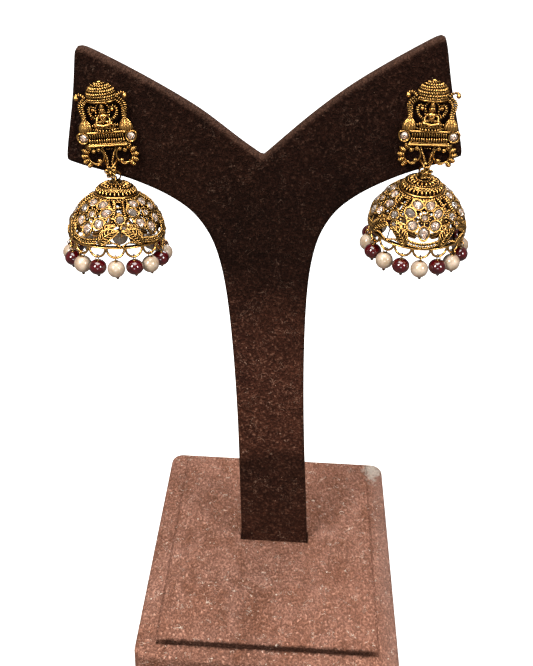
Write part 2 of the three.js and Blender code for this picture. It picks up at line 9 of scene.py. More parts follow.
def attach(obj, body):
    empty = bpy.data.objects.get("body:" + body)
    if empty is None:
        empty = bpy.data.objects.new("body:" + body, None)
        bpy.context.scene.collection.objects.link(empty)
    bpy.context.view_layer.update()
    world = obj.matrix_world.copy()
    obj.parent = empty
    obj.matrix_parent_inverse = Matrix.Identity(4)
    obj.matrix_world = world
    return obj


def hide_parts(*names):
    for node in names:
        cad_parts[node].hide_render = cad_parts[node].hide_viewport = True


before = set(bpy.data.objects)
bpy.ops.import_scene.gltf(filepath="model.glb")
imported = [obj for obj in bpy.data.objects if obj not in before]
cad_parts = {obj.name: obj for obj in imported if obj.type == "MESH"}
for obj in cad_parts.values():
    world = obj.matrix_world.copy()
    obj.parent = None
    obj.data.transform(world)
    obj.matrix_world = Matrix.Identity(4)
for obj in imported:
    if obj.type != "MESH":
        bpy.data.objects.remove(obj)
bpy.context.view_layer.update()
MM = 0.001
TURN = 2 * math.pi

# Display stand, in millimetres
BASE = {"width": 66, "depth": 80, "height": 15, "corner": 3.5, "bevel": 1.0}
GROOVE = {"inset": 5.1, "width": 0.55, "depth": 0.35, "back_margin": 2.0,
          "front_width": 1.3, "front_depth": 3.0}
BOARD = {"front": 3.3, "thickness": 4.0, "bevel": 1.1, "lean": 3.57, "foot_x": 0.4, "tenon": 8.0}
SEAT_GAP = 0.3
NOTCH_HEIGHT = 114.1

# The lighter stretch of the neck: heights over the floor where it begins and ends, and how much
# lighter than its dye the suede looks there, below it and on the arms
NAP_LIGHT = {"low": 40, "full": 48, "fading": 70, "high": 104}
NAP_GAIN = {"foot": 1.9, "neck": 3.4, "arms": 0.75}

# Dyes and nap of the two suedes, and painted light on them: the tips colour is a painted highlight on
# the nap's ridges, the board's edge colour is painted light on its upward faces, and the base's border
# and slit colours are painted shade; stroke, fibre and relief in millimetres
BOARD_NAP = {
    "deep": (0.015, 0.0050, 0.0032), "brushed": (0.034, 0.0118, 0.0070),
    "rust": (0.040, 0.0135, 0.0075), "tips": (0.09, 0.048, 0.031), "lint": (0.33, 0.20, 0.14),
    "lit_upper_faces": (0.095, 0.046, 0.030),
    "stroke": 5.0, "fibre": 0.7, "relief": 1.0,
    "contrast": 0.55, "ridge_highlight_share": 0.4, "lint_share": 0.35,
}
BASE_NAP = {
    "deep": (0.25, 0.106, 0.065), "brushed": (0.48, 0.245, 0.180),
    "rust": (0.38, 0.163, 0.103), "tips": (0.70, 0.46, 0.35), "lint": (0.90, 0.72, 0.58),
    "shaded_right_border": (0.30, 0.185, 0.15), "rubbed_corner": (0.78, 0.70, 0.60),
    "slit": (0.030, 0.011, 0.007),
    "stroke": 7.0, "fibre": 0.6, "relief": 0.8,
    "contrast": 0.45, "ridge_highlight_share": 0.22, "lint_share": 1.0,
}

# Half outline of the board as (half width, height above the base's top)
ARM_UNDERSIDE = [
    (9.3, 0), (8.7, 44), (9.4, 74), (11.3, 90), (15.0, 99), (20.8, 104.6), (30.0, 109.3),
    (41.0, 112.9),
]
ARM_SIDE = [(43.3, 113.8), (43.9, 115.6), (41.0, 128.4), (39.4, 137.4)]
ARM_TOP = {
    "right": [(38.9, 139.5), (38.0, 139.9), (35.4, 138.8), (27.3, 134.4), (19.1, 129.4),
              (10.6, 123.1), (0.5, 114.5)],
    "left": [(39.1, 138.6), (38.2, 139.0), (36.0, 138.3), (29.6, 134.9), (21.4, 130.1),
             (13.2, 124.7), (4.8, 117.8), (0.5, 114.5)],
}

# Earrings; HANG is how far in front of the board's face the drops hang
HANG = 2.0
EARRINGS = {
    "left": {
        "stud_x": -40.05, "stud_z": 125.4, "stud_lean": -6.5, "drop_x": -39.3,
        "cap_top": 123.2, "nod": -6, "panel_turn": 15, "first_bead": 8,
    },
    "right": {
        "stud_x": 29.3, "stud_z": 129.05, "stud_lean": -0.9, "drop_x": 29.0,
        "cap_top": 127.8, "nod": 6, "panel_turn": -43, "first_bead": 2,
    },
}
RING = {"radius": 1.05, "wire": 0.3, "strand": 0.19, "apart": 0.15, "swell": 0.05}
EYE = {"radius": 0.7, "wire": 0.25, "stud_strand": 0.21, "bell_strand": 0.22}
LINK_DROP = EYE["wire"] + RING["wire"] + 0.12
CAP_TO_EYE = 0.55

# Bell, measured down from the top of its cap
DOME = {"radius": 10.9, "rise": 8.4, "centre": 11.0, "top": 31, "rim": 100, "waist": 0.12}
PANELS = 4
SHEET = {"front": 0.16, "back": -0.45}
ROSETTE = {"phi": 56, "ring": 3.15, "petals": 7, "stone": 0.98, "lowest": 3.45}
BRIGHT_PHI = 61
SLOTS = {"half": 0.5, "taper": 0.5, "spans": [(34.5, 42), (44, 52)]}
SCALLOPS = 16
SCALLOP_DROP = 2.2
BEAD_HANG = 0.35
PEARL = {"radius": 2.0, "height": 2.0}
RED_BEAD = {"radius": 2.0, "height": 1.78}
BEAD_EYE = {"radius": 0.74, "wire": 0.125, "below": 0.783}
BEAD_SHARE_BELOW = 0.87

# Gaps in the right half of a panel, in millimetres from the middle of its rosette
SIDE_GAPS = {
    "beside_ribs": [(2.95, 3.35), (3.45, 3.25), (5.2, 0.9), (4.8, 0.3), (4.2, 2.2)],
    "below_bright_stone": [(4.6, -0.65), (6.2, -0.8), (6.4, -2.0), (5.4, -3.0), (4.2, -2.6)],
    "above_swag": [(1.7, -4.9), (3.4, -4.65), (4.9, -4.0), (4.3, -3.4), (1.75, -3.75)],
    "below_swag": [(3.6, -6.2), (5.3, -5.55), (6.35, -6.45), (3.5, -6.6)],
}
TOP_GAP = [
    (0.85, 0.5), (0, 0.98), (-0.85, 0.5), (-1.39, 0.8), (-0.55, 1.5), (0.55, 1.5), (1.39, 0.8),
]
PETAL_GAP = {"reach": 1.45, "radius": 0.3, "corners": (0, 1.57, 3.14, 4.71)}

# Stud, measured up from the centre of its flower, with its back on the board
RELIEF = 0.9
FLOWER_OUT = 3.3
FIGURE = {"seat": 10.2, "wide": 1.15, "deep": 1.1, "tall": 1.12}
POST_HEIGHT = 12.0
POST = {"radius": 0.45, "hole": 0.75, "hole_reach": 10.0, "front": -0.3, "back": 8.7}
NUT = {"radius": 2.4, "thickness": 2.2, "gap": 0.3}


# Places

def move(x, y, z):
    return np.array(Matrix.Translation((x, y, z)))


def turn(degrees, axis):
    return np.array(Matrix.Rotation(math.radians(degrees), 4, axis))


def stretch(x, y, z):
    return np.diag([x, y, z, 1.0])


def placed(points, place):
    return np.asarray(points, float) @ place[:3, :3].T + place[:3, 3]


def on_side(side, rows):
    """Points written for the right hand, mirrored when the side is -1."""
    return np.array(rows, float) * (side, 1, 1)


def polar(reach, angle, height=0.0):
    return reach * math.cos(angle), reach * math.sin(angle), height


def standing(outline, height):
    """A flat outline as points at one height."""
    return np.column_stack([outline, np.full(len(outline), height)])


# Faces of one piece, gathered in millimetres

class Work:
    def __init__(self, place=None):
        self.place = np.eye(4) if place is None else place
        self.bend = None
        self.points, self.faces, self.finishes, self.smooth = [], [], [], []
        self.count = 0

    def add(self, points, blocks, finish=0, smooth=True):
        points = np.asarray(points, float)
        if self.bend is not None:
            points = self.bend(points)
        self.points.append(placed(points, self.place))
        for block in blocks:
            block = np.asarray(block, int)
            self.faces.append(block + self.count)
            self.finishes.append(np.full(len(block), finish))
            self.smooth.append(np.full(len(block), smooth))
        self.count += len(points)


def show(name, data):
    made = bpy.data.objects.new(name, data)
    bpy.context.scene.collection.objects.link(made)
    return made


def make_piece(name, work, materials, body, stands_for=()):
    mesh = bpy.data.meshes.new(name)
    points = np.concatenate(work.points) * MM
    mesh.vertices.add(len(points))
    mesh.vertices.foreach_set("co", points.ravel())
    corners = np.concatenate([block.ravel() for block in work.faces])
    sizes = np.concatenate([np.full(len(block), block.shape[1]) for block in work.faces])
    mesh.loops.add(len(corners))
    mesh.loops.foreach_set("vertex_index", corners)
    mesh.polygons.add(len(sizes))
    mesh.polygons.foreach_set("loop_start", np.concatenate([[0], np.cumsum(sizes)[:-1]]))
    mesh.polygons.foreach_set("material_index", np.concatenate(work.finishes))
    mesh.polygons.foreach_set("use_smooth", np.concatenate(work.smooth))
    mesh.update(calc_edges=True)
    mesh.validate()
    for material in materials:
        mesh.materials.append(material)
    piece = show(name, mesh)
    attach(piece, body)
    if stands_for:
        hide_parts(*stands_for)
    return piece


# Shapes

def grid(rows, columns, closed_rows=False, closed_columns=True):
    a, b = np.meshgrid(
        np.arange(rows if closed_rows else rows - 1),
        np.arange(columns if closed_columns else columns - 1), indexing="ij")
    c, d = (a + 1) % rows, (b + 1) % columns
    corners = [a * columns + b, a * columns + d, c * columns + d, c * columns + b]
    return np.stack(corners, -1).reshape(-1, 4)


def fan(ring, tip, flip=False):
    """Triangles from a ring of point numbers to one more point."""
    after = np.roll(ring, -1)
    rows = [after, ring] if flip else [ring, after]
    return np.stack([*rows, np.full(len(ring), tip)], -1)


def lathe(work, profile, sides, place=None, finish=0, flutes=0, flute_depth=0.0):
    """A body turned about Z; the profile is (radius, height), upwards, and may have flutes."""
    profile = np.asarray(profile, float)
    angle = np.arange(sides) * TURN / sides
    wave = 1 + flute_depth * np.cos(flutes * angle)
    radius = profile[:, :1] * wave
    points = np.stack([
        radius * np.cos(angle), radius * np.sin(angle),
        np.repeat(profile[:, 1:], sides, 1)], -1).reshape(-1, 3)
    rows = len(profile)
    blocks = [grid(rows, sides)]
    ends = np.array([[0, 0, profile[0, 1]], [0, 0, profile[-1, 1]]])
    points = np.vstack([points, ends])
    first, last = np.arange(sides), np.arange(sides) + (rows - 1) * sides
    blocks += [fan(first, rows * sides, True), fan(last, rows * sides + 1)]
    if place is not None:
        points = placed(points, place)
    work.add(points, blocks, finish)


def ball(work, place, radius=1.0, sides=10, rows=6, finish=0):
    angle = np.linspace(-0.5, 0.5, rows + 1)[1:-1] * math.pi
    profile = np.stack([np.cos(angle), np.sin(angle)], -1) * radius
    profile = np.vstack([[0.02 * radius, -radius], profile, [0.02 * radius, radius]])
    lathe(work, profile, sides, place, finish)


def granules(work, centres, radius):
    for centre in centres:
        ball(work, move(*centre), radius, 8, 5)


def frames_along(line, closed):
    if closed:
        tangent = np.roll(line, -1, 0) - np.roll(line, 1, 0)
    else:
        tangent = np.gradient(line, axis=0)
    tangent /= np.linalg.norm(tangent, axis=1, keepdims=True)
    side = np.empty_like(line)
    helper = np.eye(3)[np.argmin(np.abs(tangent[0]))]
    side[0] = np.cross(tangent[0], helper)
    side[0] /= np.linalg.norm(side[0])
    for i in range(1, len(line)):
        across = side[i - 1] - tangent[i] * (side[i - 1] @ tangent[i])
        side[i] = across / np.linalg.norm(across)
    return tangent, side, np.cross(tangent, side)


def wire(work, line, radius, sides=6, closed=False, finish=0):
    """A round wire along a line; the radius may change along it."""
    line = np.asarray(line, float)
    count = len(line)
    radius = np.broadcast_to(np.asarray(radius, float), (count,))
    tangent, side, up = frames_along(line, closed)
    angle = (np.arange(sides) * TURN / sides)[None, :, None]
    rings = line[:, None] + radius[:, None, None] * (
        np.cos(angle) * side[:, None] + np.sin(angle) * up[:, None])
    points = rings.reshape(-1, 3)
    blocks = [grid(count, sides, closed)]
    if not closed:
        tips = [line[0] - tangent[0] * radius[0] * 0.6, line[-1] + tangent[-1] * radius[-1] * 0.6]
        points = np.vstack([points, tips])
        first, last = np.arange(sides), np.arange(sides) + (count - 1) * sides
        blocks += [fan(first, count * sides, True), fan(last, count * sides + 1)]
    work.add(points, blocks, finish)


def spline(rows, count, closed=False):
    """A smooth line through the rows, with that many steps in each stretch."""
    rows = np.asarray(rows, float)
    if closed:
        rows = np.vstack([rows[-1:], rows, rows[:2]])
    else:
        rows = np.vstack([rows[:1], rows, rows[-1:]])
    line = []
    for a, b, c, d in zip(rows, rows[1:], rows[2:], rows[3:]):
        t = np.linspace(0, 1, count, endpoint=False)[:, None]
        line.append(0.5 * (2 * b + (c - a) * t + (2 * a - 5 * b + 4 * c - d) * t ** 2
                           + (3 * b - a - 3 * c + d) * t ** 3))
    if not closed:
        line.append(rows[-2:-1])
    return np.vstack(line)


def evenly(line, step, closed=False):
    """The same line with points about one step apart."""
    line = np.asarray(line, float)
    if closed:
        line = np.vstack([line, line[:1]])
    reach = np.concatenate([[0], np.cumsum(np.linalg.norm(np.diff(line, axis=0), axis=1))])
    count = max(3, int(round(reach[-1] / step)))
    at = np.linspace(0, reach[-1], count + 1)
    even = np.stack([np.interp(at, reach, line[:, k]) for k in range(line.shape[1])], -1)
    return even[:-1] if closed else even


def rope(work, line, radius, pitch, finish=0):
    """Two round wires twisted together along a closed line."""
    steps = 4
    even = evenly(line, pitch / steps, True)
    _, side, up = frames_along(even, True)
    turns = round(len(even) / steps)
    share = np.arange(len(even)) / len(even)
    for start in (0, 0.5):
        angle = (TURN * (turns * share + start))[:, None]
        offset = 0.52 * radius * (np.cos(angle) * side + np.sin(angle) * up)
        wire(work, even + offset, 0.48 * radius, 4, True, finish)


def grains(work, line, size, pitch, slant=0.0, closed=False, core=0.0):
    """Grains laid side by side along a line, leaning by the slant, as on a cast rope."""
    even = evenly(line, pitch, closed)
    if not closed:
        even = (even[1:] + even[:-1]) / 2
    tangent, _, _ = frames_along(even, closed)
    outward = np.cross(tangent, [0.0, 0.0, 1.0])
    straight = np.linalg.norm(outward, axis=1) < 0.3
    outward[straight] = np.cross(tangent[straight], [1.0, 0.0, 0.0])
    outward /= np.linalg.norm(outward, axis=1, keepdims=True)
    across = np.cross(outward, tangent)
    lean = math.radians(slant)
    along, high, thick = size
    for at, t, a, o in zip(even, tangent, across, outward):
        long_axis = math.cos(lean) * a + math.sin(lean) * t
        short_axis = math.cos(lean) * t - math.sin(lean) * a
        place = np.eye(4)
        place[:3, 0], place[:3, 1], place[:3, 2] = short_axis * along, o * thick, long_axis * high
        place[:3, 3] = at
        ball(work, place, 1, 8, 6)
    if core:
        wire(work, even, core, 5, closed, DARK)


def circle(radius, sides, z=0.0, start=0.0, sweep=TURN, closed=True):
    angle = start + sweep * np.arange(sides if closed else sides + 1) / sides
    return np.stack([radius * np.cos(angle), radius * np.sin(angle), np.full(len(angle), z)], -1)


def collar(work, outline, steps, place, finish=0):
    """A closed wall over a flat outline; the steps are (scale, height), from outside to inside."""
    points = np.vstack([standing(outline * scale, height) for scale, height in steps])
    work.add(placed(points, place), [grid(len(steps), len(outline))], finish)


def drop_outline(radius, tip=0.0, lengthen=1.0, sides=20):
    """A round outline drawn out to a tip along +X."""
    angle = np.arange(sides) * TURN / sides
    reach = radius * (1 + tip * np.maximum(0, np.cos(angle)) ** 7)
    return np.stack([lengthen * reach * np.cos(angle), reach * np.sin(angle)], -1)


def stone(work, place, radius, height, sides=10, table=0.55, finish=0):
    """A cut stone: a table, two rows of facets above its girdle, and a pointed back."""
    angle = np.arange(sides) * TURN / sides
    half = angle + math.pi / sides
    rows = [
        (radius, 0.0, angle), (0.99 * radius, 0.12 * height, angle),
        (0.83 * radius, 0.62 * height, half), (table * radius, height, angle),
    ]
    points = [np.stack([r * np.cos(a), r * np.sin(a), np.full(sides, z)], -1) for r, z, a in rows]
    points = np.vstack([*points, [[0, 0, height], [0, 0, -0.55 * radius]]])
    ring = np.arange(sides)
    after = np.roll(ring, -1)
    n = sides
    faces = [
        np.stack([ring, after, after + n, ring + n], -1),
        np.stack([ring + n, after + n, ring + 2 * n], -1),
        np.stack([after + n, after + 2 * n, ring + 2 * n], -1),
        np.stack([ring + 2 * n, after + 2 * n, after + 3 * n], -1),
        np.stack([ring + 2 * n, after + 3 * n, ring + 3 * n], -1),
        fan(ring + 3 * n, 4 * n),
        fan(ring, 4 * n + 1, True),
    ]
    work.add(placed(points, place), faces, finish, smooth=False)


# Node helpers

# Sockets of the mix node: its two colours, and the colour that it gives
MIX_COLOURS_IN = (6, 7)
MIX_COLOUR_OUT = 2


def node(tree, kind, inputs=None, **settings):
    made = tree.nodes.new(kind)
    for name, value in settings.items():
        setattr(made, name, value)
    for name, value in (inputs or {}).items():
        if isinstance(value, bpy.types.NodeSocket):
            tree.links.new(value, made.inputs[name])
        else:
            made.inputs[name].default_value = value
    return made


def ramp(tree, value, low, high, to_low=0.0, to_high=1.0, eased=False):
    return node(tree, "ShaderNodeMapRange", {
        "Value": value, "From Min": low, "From Max": high, "To Min": to_low, "To Max": to_high,
    }, interpolation_type="SMOOTHSTEP" if eased else "LINEAR").outputs["Result"]


def mix_colour(tree, share, first, second):
    made = node(tree, "ShaderNodeMix", {0: share}, data_type="RGBA")
    for number, value in zip(MIX_COLOURS_IN, (first, second)):
        if isinstance(value, bpy.types.NodeSocket):
            tree.links.new(value, made.inputs[number])
        else:
            made.inputs[number].default_value = (*value, 1.0)
    return made.outputs[MIX_COLOUR_OUT]


def shaded(tree, colour, value):
    """The colour made lighter or darker by a factor."""
    return node(tree, "ShaderNodeHueSaturation", {"Color": colour, "Value": value}).outputs["Color"]


def maths(tree, operation, first, second=0.0):
    return node(tree, "ShaderNodeMath", {0: first, 1: second}, operation=operation).outputs[0]


def on_object(tree):
    return node(tree, "ShaderNodeTexCoord").outputs["Object"]


def noise(tree, where, size, detail=3.0):
    """Noise whose features are about size millimetres across."""
    return node(tree, "ShaderNodeTexNoise", {
        "Vector": where, "Scale": 1 / (size * MM), "Detail": detail,
        "Roughness": 0.55}).outputs["Fac"]


def sway(tree, where, size, detail, reach):
    """Noise round zero, up to about half its reach in millimetres either way."""
    return maths(tree, "MULTIPLY", maths(tree, "SUBTRACT", noise(tree, where, size, detail), 0.5),
                 reach * MM)


def new_group(name, inputs, outputs):
    group = bpy.data.node_groups.new(name, "ShaderNodeTree")
    kinds = {"value": "NodeSocketFloat", "colour": "NodeSocketColor", "vector": "NodeSocketVector"}
    for title, kind, default in inputs:
        made = group.interface.new_socket(title, in_out="INPUT", socket_type=kinds[kind])
        made.default_value = default
    for title, kind in outputs:
        group.interface.new_socket(title, in_out="OUTPUT", socket_type=kinds[kind])
    return group, group.nodes.new("NodeGroupInput"), group.nodes.new("NodeGroupOutput")


def use_group(tree, group, inputs):
    return node(tree, "ShaderNodeGroup", inputs, node_tree=group).outputs


def patina_group():
    """How far a surface stands clear of its neighbours: the recesses keep their dark patina."""
    group, given, out = new_group(
        "patina",
        [("Reach", "value", 0.9), ("Depth", "value", 0.55), ("Smudge", "value", 0.35)],
        [("Raised", "value"), ("Grain", "value")])
    where = on_object(group)
    clear = 1.0
    for share in (1.0, 0.28):
        reach = maths(group, "MULTIPLY", given.outputs["Reach"], share * MM)
        seen = node(group, "ShaderNodeAmbientOcclusion", {"Distance": reach}, samples=8)
        clear = maths(group, "MULTIPLY", seen.outputs["AO"], clear)
    smudge = noise(group, where, 1.3, 3.0)
    shift = maths(group, "MULTIPLY", maths(group, "SUBTRACT", smudge, 0.5),
                  given.outputs["Smudge"])
    open_share = maths(group, "ADD", clear, shift)
    raised = ramp(group, open_share, given.outputs["Depth"], 0.95, eased=True)
    group.links.new(raised, out.inputs["Raised"])
    group.links.new(noise(group, where, 0.12, 2.0), out.inputs["Grain"])
    return group


def nap_group():
    """Brushed suede: broad strokes, wavy fibre grain, and pale lint in dots and short threads."""
    group, given, out = new_group(
        "suede_nap",
        [("Stroke", "value", 6.0), ("Fibre", "value", 0.6), ("Lint", "value", 0.5)],
        [("Stroke", "value"), ("Fibre", "value"), ("Lint", "value")])
    where = on_object(group)

    def sized(name, detail, stretched, warp):
        scale = maths(group, "DIVIDE", 1 / MM, given.outputs[name])
        mapped = node(group, "ShaderNodeMapping", {"Vector": where, "Scale": stretched})
        return node(group, "ShaderNodeTexNoise", {
            "Vector": mapped.outputs[0], "Scale": scale, "Detail": detail,
            "Roughness": 0.62, "Distortion": warp}).outputs["Fac"]

    group.links.new(sized("Stroke", 4.0, (1.0, 0.7, 1.0), 0.4), out.inputs["Stroke"])
    group.links.new(sized("Fibre", 2.5, (1.15, 0.72, 1.15), 0.45), out.inputs["Fibre"])
    dots = node(group, "ShaderNodeTexVoronoi", {
        "Vector": where, "Scale": 1 / (1.5 * MM), "Randomness": 1.0})
    pick = node(group, "ShaderNodeSeparateColor", {"Color": dots.outputs["Color"]})
    few = maths(group, "LESS_THAN", pick.outputs[0], maths(
        group, "MULTIPLY", given.outputs["Lint"], 0.3))
    size = ramp(group, pick.outputs[1], 0, 1, 0.04, 0.15)
    small = maths(group, "LESS_THAN", dots.outputs["Distance"], size)
    curls = node(group, "ShaderNodeTexNoise", {
        "Vector": where, "Scale": 1 / (2.6 * MM), "Detail": 0.0, "Distortion": 2.4}).outputs["Fac"]
    thread = maths(group, "LESS_THAN", maths(
        group, "ABSOLUTE", maths(group, "SUBTRACT", curls, 0.5)), 0.016)
    broken = maths(group, "GREATER_THAN", noise(group, where, 2.2, 0.0), 0.64)
    threads = maths(group, "MULTIPLY", maths(group, "MULTIPLY", thread, broken), maths(
        group, "MULTIPLY", given.outputs["Lint"], 0.8))
    group.links.new(maths(group, "MAXIMUM", maths(group, "MULTIPLY", few, small), threads),
                    out.inputs["Lint"])
    return group


PATINA = patina_group()
NAP = nap_group()


def new_material(name):
    material = bpy.data.materials.new(name)
    material.use_nodes = True
    tree = material.node_tree
    return material, tree, tree.nodes["Principled BSDF"]


def set_all(tree, shader, values):
    for name, value in values.items():
        if isinstance(value, bpy.types.NodeSocket):
            tree.links.new(value, shader.inputs[name])
        elif isinstance(value, tuple) and len(value) == 3:
            shader.inputs[name].default_value = (*value, 1.0)
        else:
            shader.inputs[name].default_value = value


def bump(tree, height, distance, strength=1.0):
    return node(tree, "ShaderNodeBump", {
        "Height": height, "Distance": distance * MM, "Strength": strength}).outputs["Normal"]


def gold_material(name, bright, patina, depth, reach, roughness):
    material, tree, shader = new_material(name)
    brightened = use_group(tree, PATINA, {"Reach": reach, "Depth": depth})
    where = on_object(tree)
    tone = ramp(tree, noise(tree, where, 2.4), 0.3, 0.7, 0.82, 1.12)
    colour = mix_colour(tree, brightened["Raised"], patina, shaded(tree, (*bright, 1.0), tone))
    set_all(tree, shader, {
        "Base Color": colour, "Metallic": 1.0,
        "Roughness": ramp(tree, brightened["Raised"], 0, 1, 0.62, roughness),
        "Normal": bump(tree, brightened["Grain"], 0.02, 0.5),
    })
    return material


def suede_material(name, look):
    material, tree, shader = new_material(name)
    nap = use_group(tree, NAP, {
        "Stroke": look["stroke"], "Fibre": look["fibre"], "Lint": look["lint_share"]})
    where = on_object(tree)
    broad = ramp(tree, noise(tree, where, 26.0, 2.0), 0.35, 0.68)
    strokes = ramp(tree, nap["Stroke"], 0.36, 0.66)
    grain = ramp(tree, nap["Fibre"], 0.36, 0.66)
    colour = mix_colour(tree, maths(tree, "MULTIPLY", strokes, 0.75), look["deep"], look["brushed"])
    colour = mix_colour(tree, maths(tree, "MULTIPLY", broad, 0.55), colour, look["rust"])
    contrast = look["contrast"]
    colour = shaded(tree, colour, ramp(tree, grain, 0, 1, 1 - contrast, 1 + contrast))
    # Painted highlight: the highest ridges of the fibre grain are mixed towards the paler tips colour
    tips = maths(tree, "MULTIPLY", ramp(tree, grain, 0.72, 1.0), look["ridge_highlight_share"])
    colour = mix_colour(tree, tips, colour, look["tips"])
    colour = mix_colour(tree, nap["Lint"], colour, look["lint"])
    height = maths(tree, "ADD", grain, maths(tree, "MULTIPLY", strokes, 0.8))
    set_all(tree, shader, {
        "Base Color": colour, "Roughness": 0.8, "Sheen Weight": 0.02, "Sheen Roughness": 0.5,
        "Specular IOR Level": 0.03, "Sheen Tint": (0.8, 0.5, 0.38),
        "Normal": bump(tree, height, look["relief"]),
    })
    return material, tree, shader, colour, where


def board_suede_material():
    """Dark on the arms, brushed lighter and redder halfway down the neck; its upward faces get painted
    light, broken up like fuzz along the upper edges.
    """
    material, tree, shader, colour, where = suede_material("board_suede", BOARD_NAP)
    low, full, fading, high = (NAP_LIGHT[key] * MM for key in ("low", "full", "fading", "high"))
    height = node(tree, "ShaderNodeSeparateXYZ", {"Vector": where}).outputs["Z"]
    height = maths(tree, "ADD", height, sway(tree, where, 9.0, 3.0, 14))
    lit = maths(tree, "MULTIPLY", ramp(tree, height, low, full, eased=True),
                ramp(tree, height, fading, high, 1.0, 0.0, eased=True))
    gain = maths(tree, "MAXIMUM", ramp(tree, lit, 0, 1, NAP_GAIN["arms"], NAP_GAIN["neck"]),
                 ramp(tree, height, low, full, NAP_GAIN["foot"], NAP_GAIN["arms"]))
    colour = shaded(tree, colour, gain)
    # Painted light from above: faces that turn upwards are lightened towards the edge colour, in a
    # fuzzy noise
    facing = node(tree, "ShaderNodeNewGeometry").outputs["Normal"]
    upward = node(tree, "ShaderNodeSeparateXYZ", {"Vector": facing}).outputs["Z"]
    brightened = maths(tree, "MULTIPLY", ramp(tree, upward, 0.15, 0.75), ramp(
        tree, noise(tree, where, 0.8, 3.0), 0.35, 0.6, 0.35, 1.0))
    colour = mix_colour(tree, brightened, colour, BOARD_NAP["lit_upper_faces"])
    tree.links.new(colour, shader.inputs["Base Color"])
    return material


def base_suede_material():
    """Warm and brushed, greyer along its right border in painted shade, with a rubbed corner and a slit
    darkened by painted shade.
    """
    material, tree, shader, colour, where = suede_material("base_suede", BASE_NAP)
    place = node(tree, "ShaderNodeSeparateXYZ", {"Vector": where})
    x, y = place.outputs["X"], place.outputs["Y"]
    half_width, half_depth = BASE["width"] / 2, BASE["depth"] / 2
    border = half_width - GROOVE["inset"]
    corner = (half_width - 3.2, half_depth - 3.5)
    away = node(tree, "ShaderNodeCombineXYZ", {
        "X": maths(tree, "SUBTRACT", x, corner[0] * MM),
        "Y": maths(tree, "MULTIPLY", maths(tree, "SUBTRACT", y, corner[1] * MM), 0.55)})
    distance = node(tree, "ShaderNodeVectorMath", {0: away.outputs[0]}, operation="LENGTH")
    ragged = maths(tree, "ADD", distance.outputs["Value"], sway(tree, where, 1.4, 4.0, 5.5))
    rubbed = ramp(tree, ragged, 3.2 * MM, 1.0 * MM, 0.0, 0.7)
    # Painted shade: the right border is greyed towards the border colour
    right_border_shade = ramp(tree, x, border * MM, (half_width - 1.5) * MM, 0.0, 0.45)
    colour = mix_colour(tree, right_border_shade, colour, BASE_NAP["shaded_right_border"])
    colour = mix_colour(tree, rubbed, colour, BASE_NAP["rubbed_corner"])
    # Painted shade in and beside the front slit, ragged at its lips and fading towards its ends
    slit = -(half_depth - GROOVE["inset"]) * MM
    from_slit = maths(tree, "ABSOLUTE", maths(tree, "SUBTRACT", y, slit))
    frayed = maths(tree, "ADD", from_slit, sway(tree, where, 0.9, 3.0, 2.2))
    painted_slit_shade = ramp(tree, frayed, 1.4 * MM, 0.75 * MM, 0.0, 0.8)
    ends = ramp(tree, maths(tree, "ABSOLUTE", x), (border + 0.6) * MM, (border - 2.5) * MM)
    colour = mix_colour(tree, maths(tree, "MULTIPLY", painted_slit_shade, ends), colour, BASE_NAP["slit"])
    tree.links.new(colour, shader.inputs["Base Color"])
    return material


def stone_material():
    material, tree, shader = new_material("clear_stone")
    where = on_object(tree)
    blush = ramp(tree, noise(tree, where, 1.2), 0.4, 0.6)
    colour = mix_colour(tree, blush, (0.94, 0.83, 0.72), (0.86, 0.68, 0.56))
    set_all(tree, shader, {
        "Base Color": colour, "Roughness": 0.03, "IOR": 1.7, "Transmission Weight": 0.85,
        "Specular IOR Level": 0.7,
    })
    return material


def foil_material():
    material, tree, shader = new_material("stone_foil")
    where = on_object(tree)
    crease = noise(tree, where, 0.35, 2.0)
    colour = mix_colour(tree, ramp(tree, crease, 0.4, 0.62), (0.13, 0.07, 0.05), (0.80, 0.60, 0.48))
    set_all(tree, shader, {
        "Base Color": colour, "Metallic": 0.8, "Roughness": 0.25,
        "Normal": bump(tree, crease, 0.08, 1.0),
    })
    return material


def pearl_material():
    material, tree, shader = new_material("pearl_nacre")
    where = on_object(tree)
    cloud = ramp(tree, noise(tree, where, 1.4, 2.0), 0.35, 0.65)
    body = mix_colour(tree, cloud, (0.40, 0.295, 0.19), (0.62, 0.50, 0.38))
    # Painted sheen: the colour turns darker and browner towards the pearl's outline, by the facing
    # angle
    edge = node(tree, "ShaderNodeLayerWeight", {"Blend": 0.35})
    colour = mix_colour(tree, edge.outputs["Facing"], body, (0.33, 0.20, 0.14))
    set_all(tree, shader, {
        "Base Color": colour, "Roughness": ramp(tree, cloud, 0, 1, 0.24, 0.34),
        "Subsurface Weight": 0.08, "Subsurface Scale": 0.0006, "Coat Weight": 0.5,
        "Coat Roughness": 0.08, "Normal": bump(tree, noise(tree, where, 0.5), 0.02, 0.4),
    })
    return material


def ruby_material():
    material, tree, shader = new_material("ruby_glass")
    where = on_object(tree)
    cloud = ramp(tree, noise(tree, where, 1.0, 3.0), 0.35, 0.7)
    colour = mix_colour(tree, cloud, (0.035, 0.0007, 0.0016), (0.10, 0.002, 0.005))
    set_all(tree, shader, {
        "Base Color": colour, "Roughness": 0.07, "Coat Weight": 1.0, "Coat Roughness": 0.02,
        "Normal": bump(tree, cloud, 0.02, 0.25),
    })
    return material


def floor_material():
    material, tree, shader = new_material("pale_floor")
    where = on_object(tree)
    tone = ramp(tree, noise(tree, where, 60.0), 0.3, 0.7)
    set_all(tree, shader, {
        "Base Color": mix_colour(tree, tone, (0.90, 0.90, 0.90), (0.93, 0.93, 0.93)),
        "Roughness": 0.9, "Specular IOR Level": 0.0,
        "Emission Color": (1.0, 1.0, 1.0), "Emission Strength": 0.55,
    })
    return material


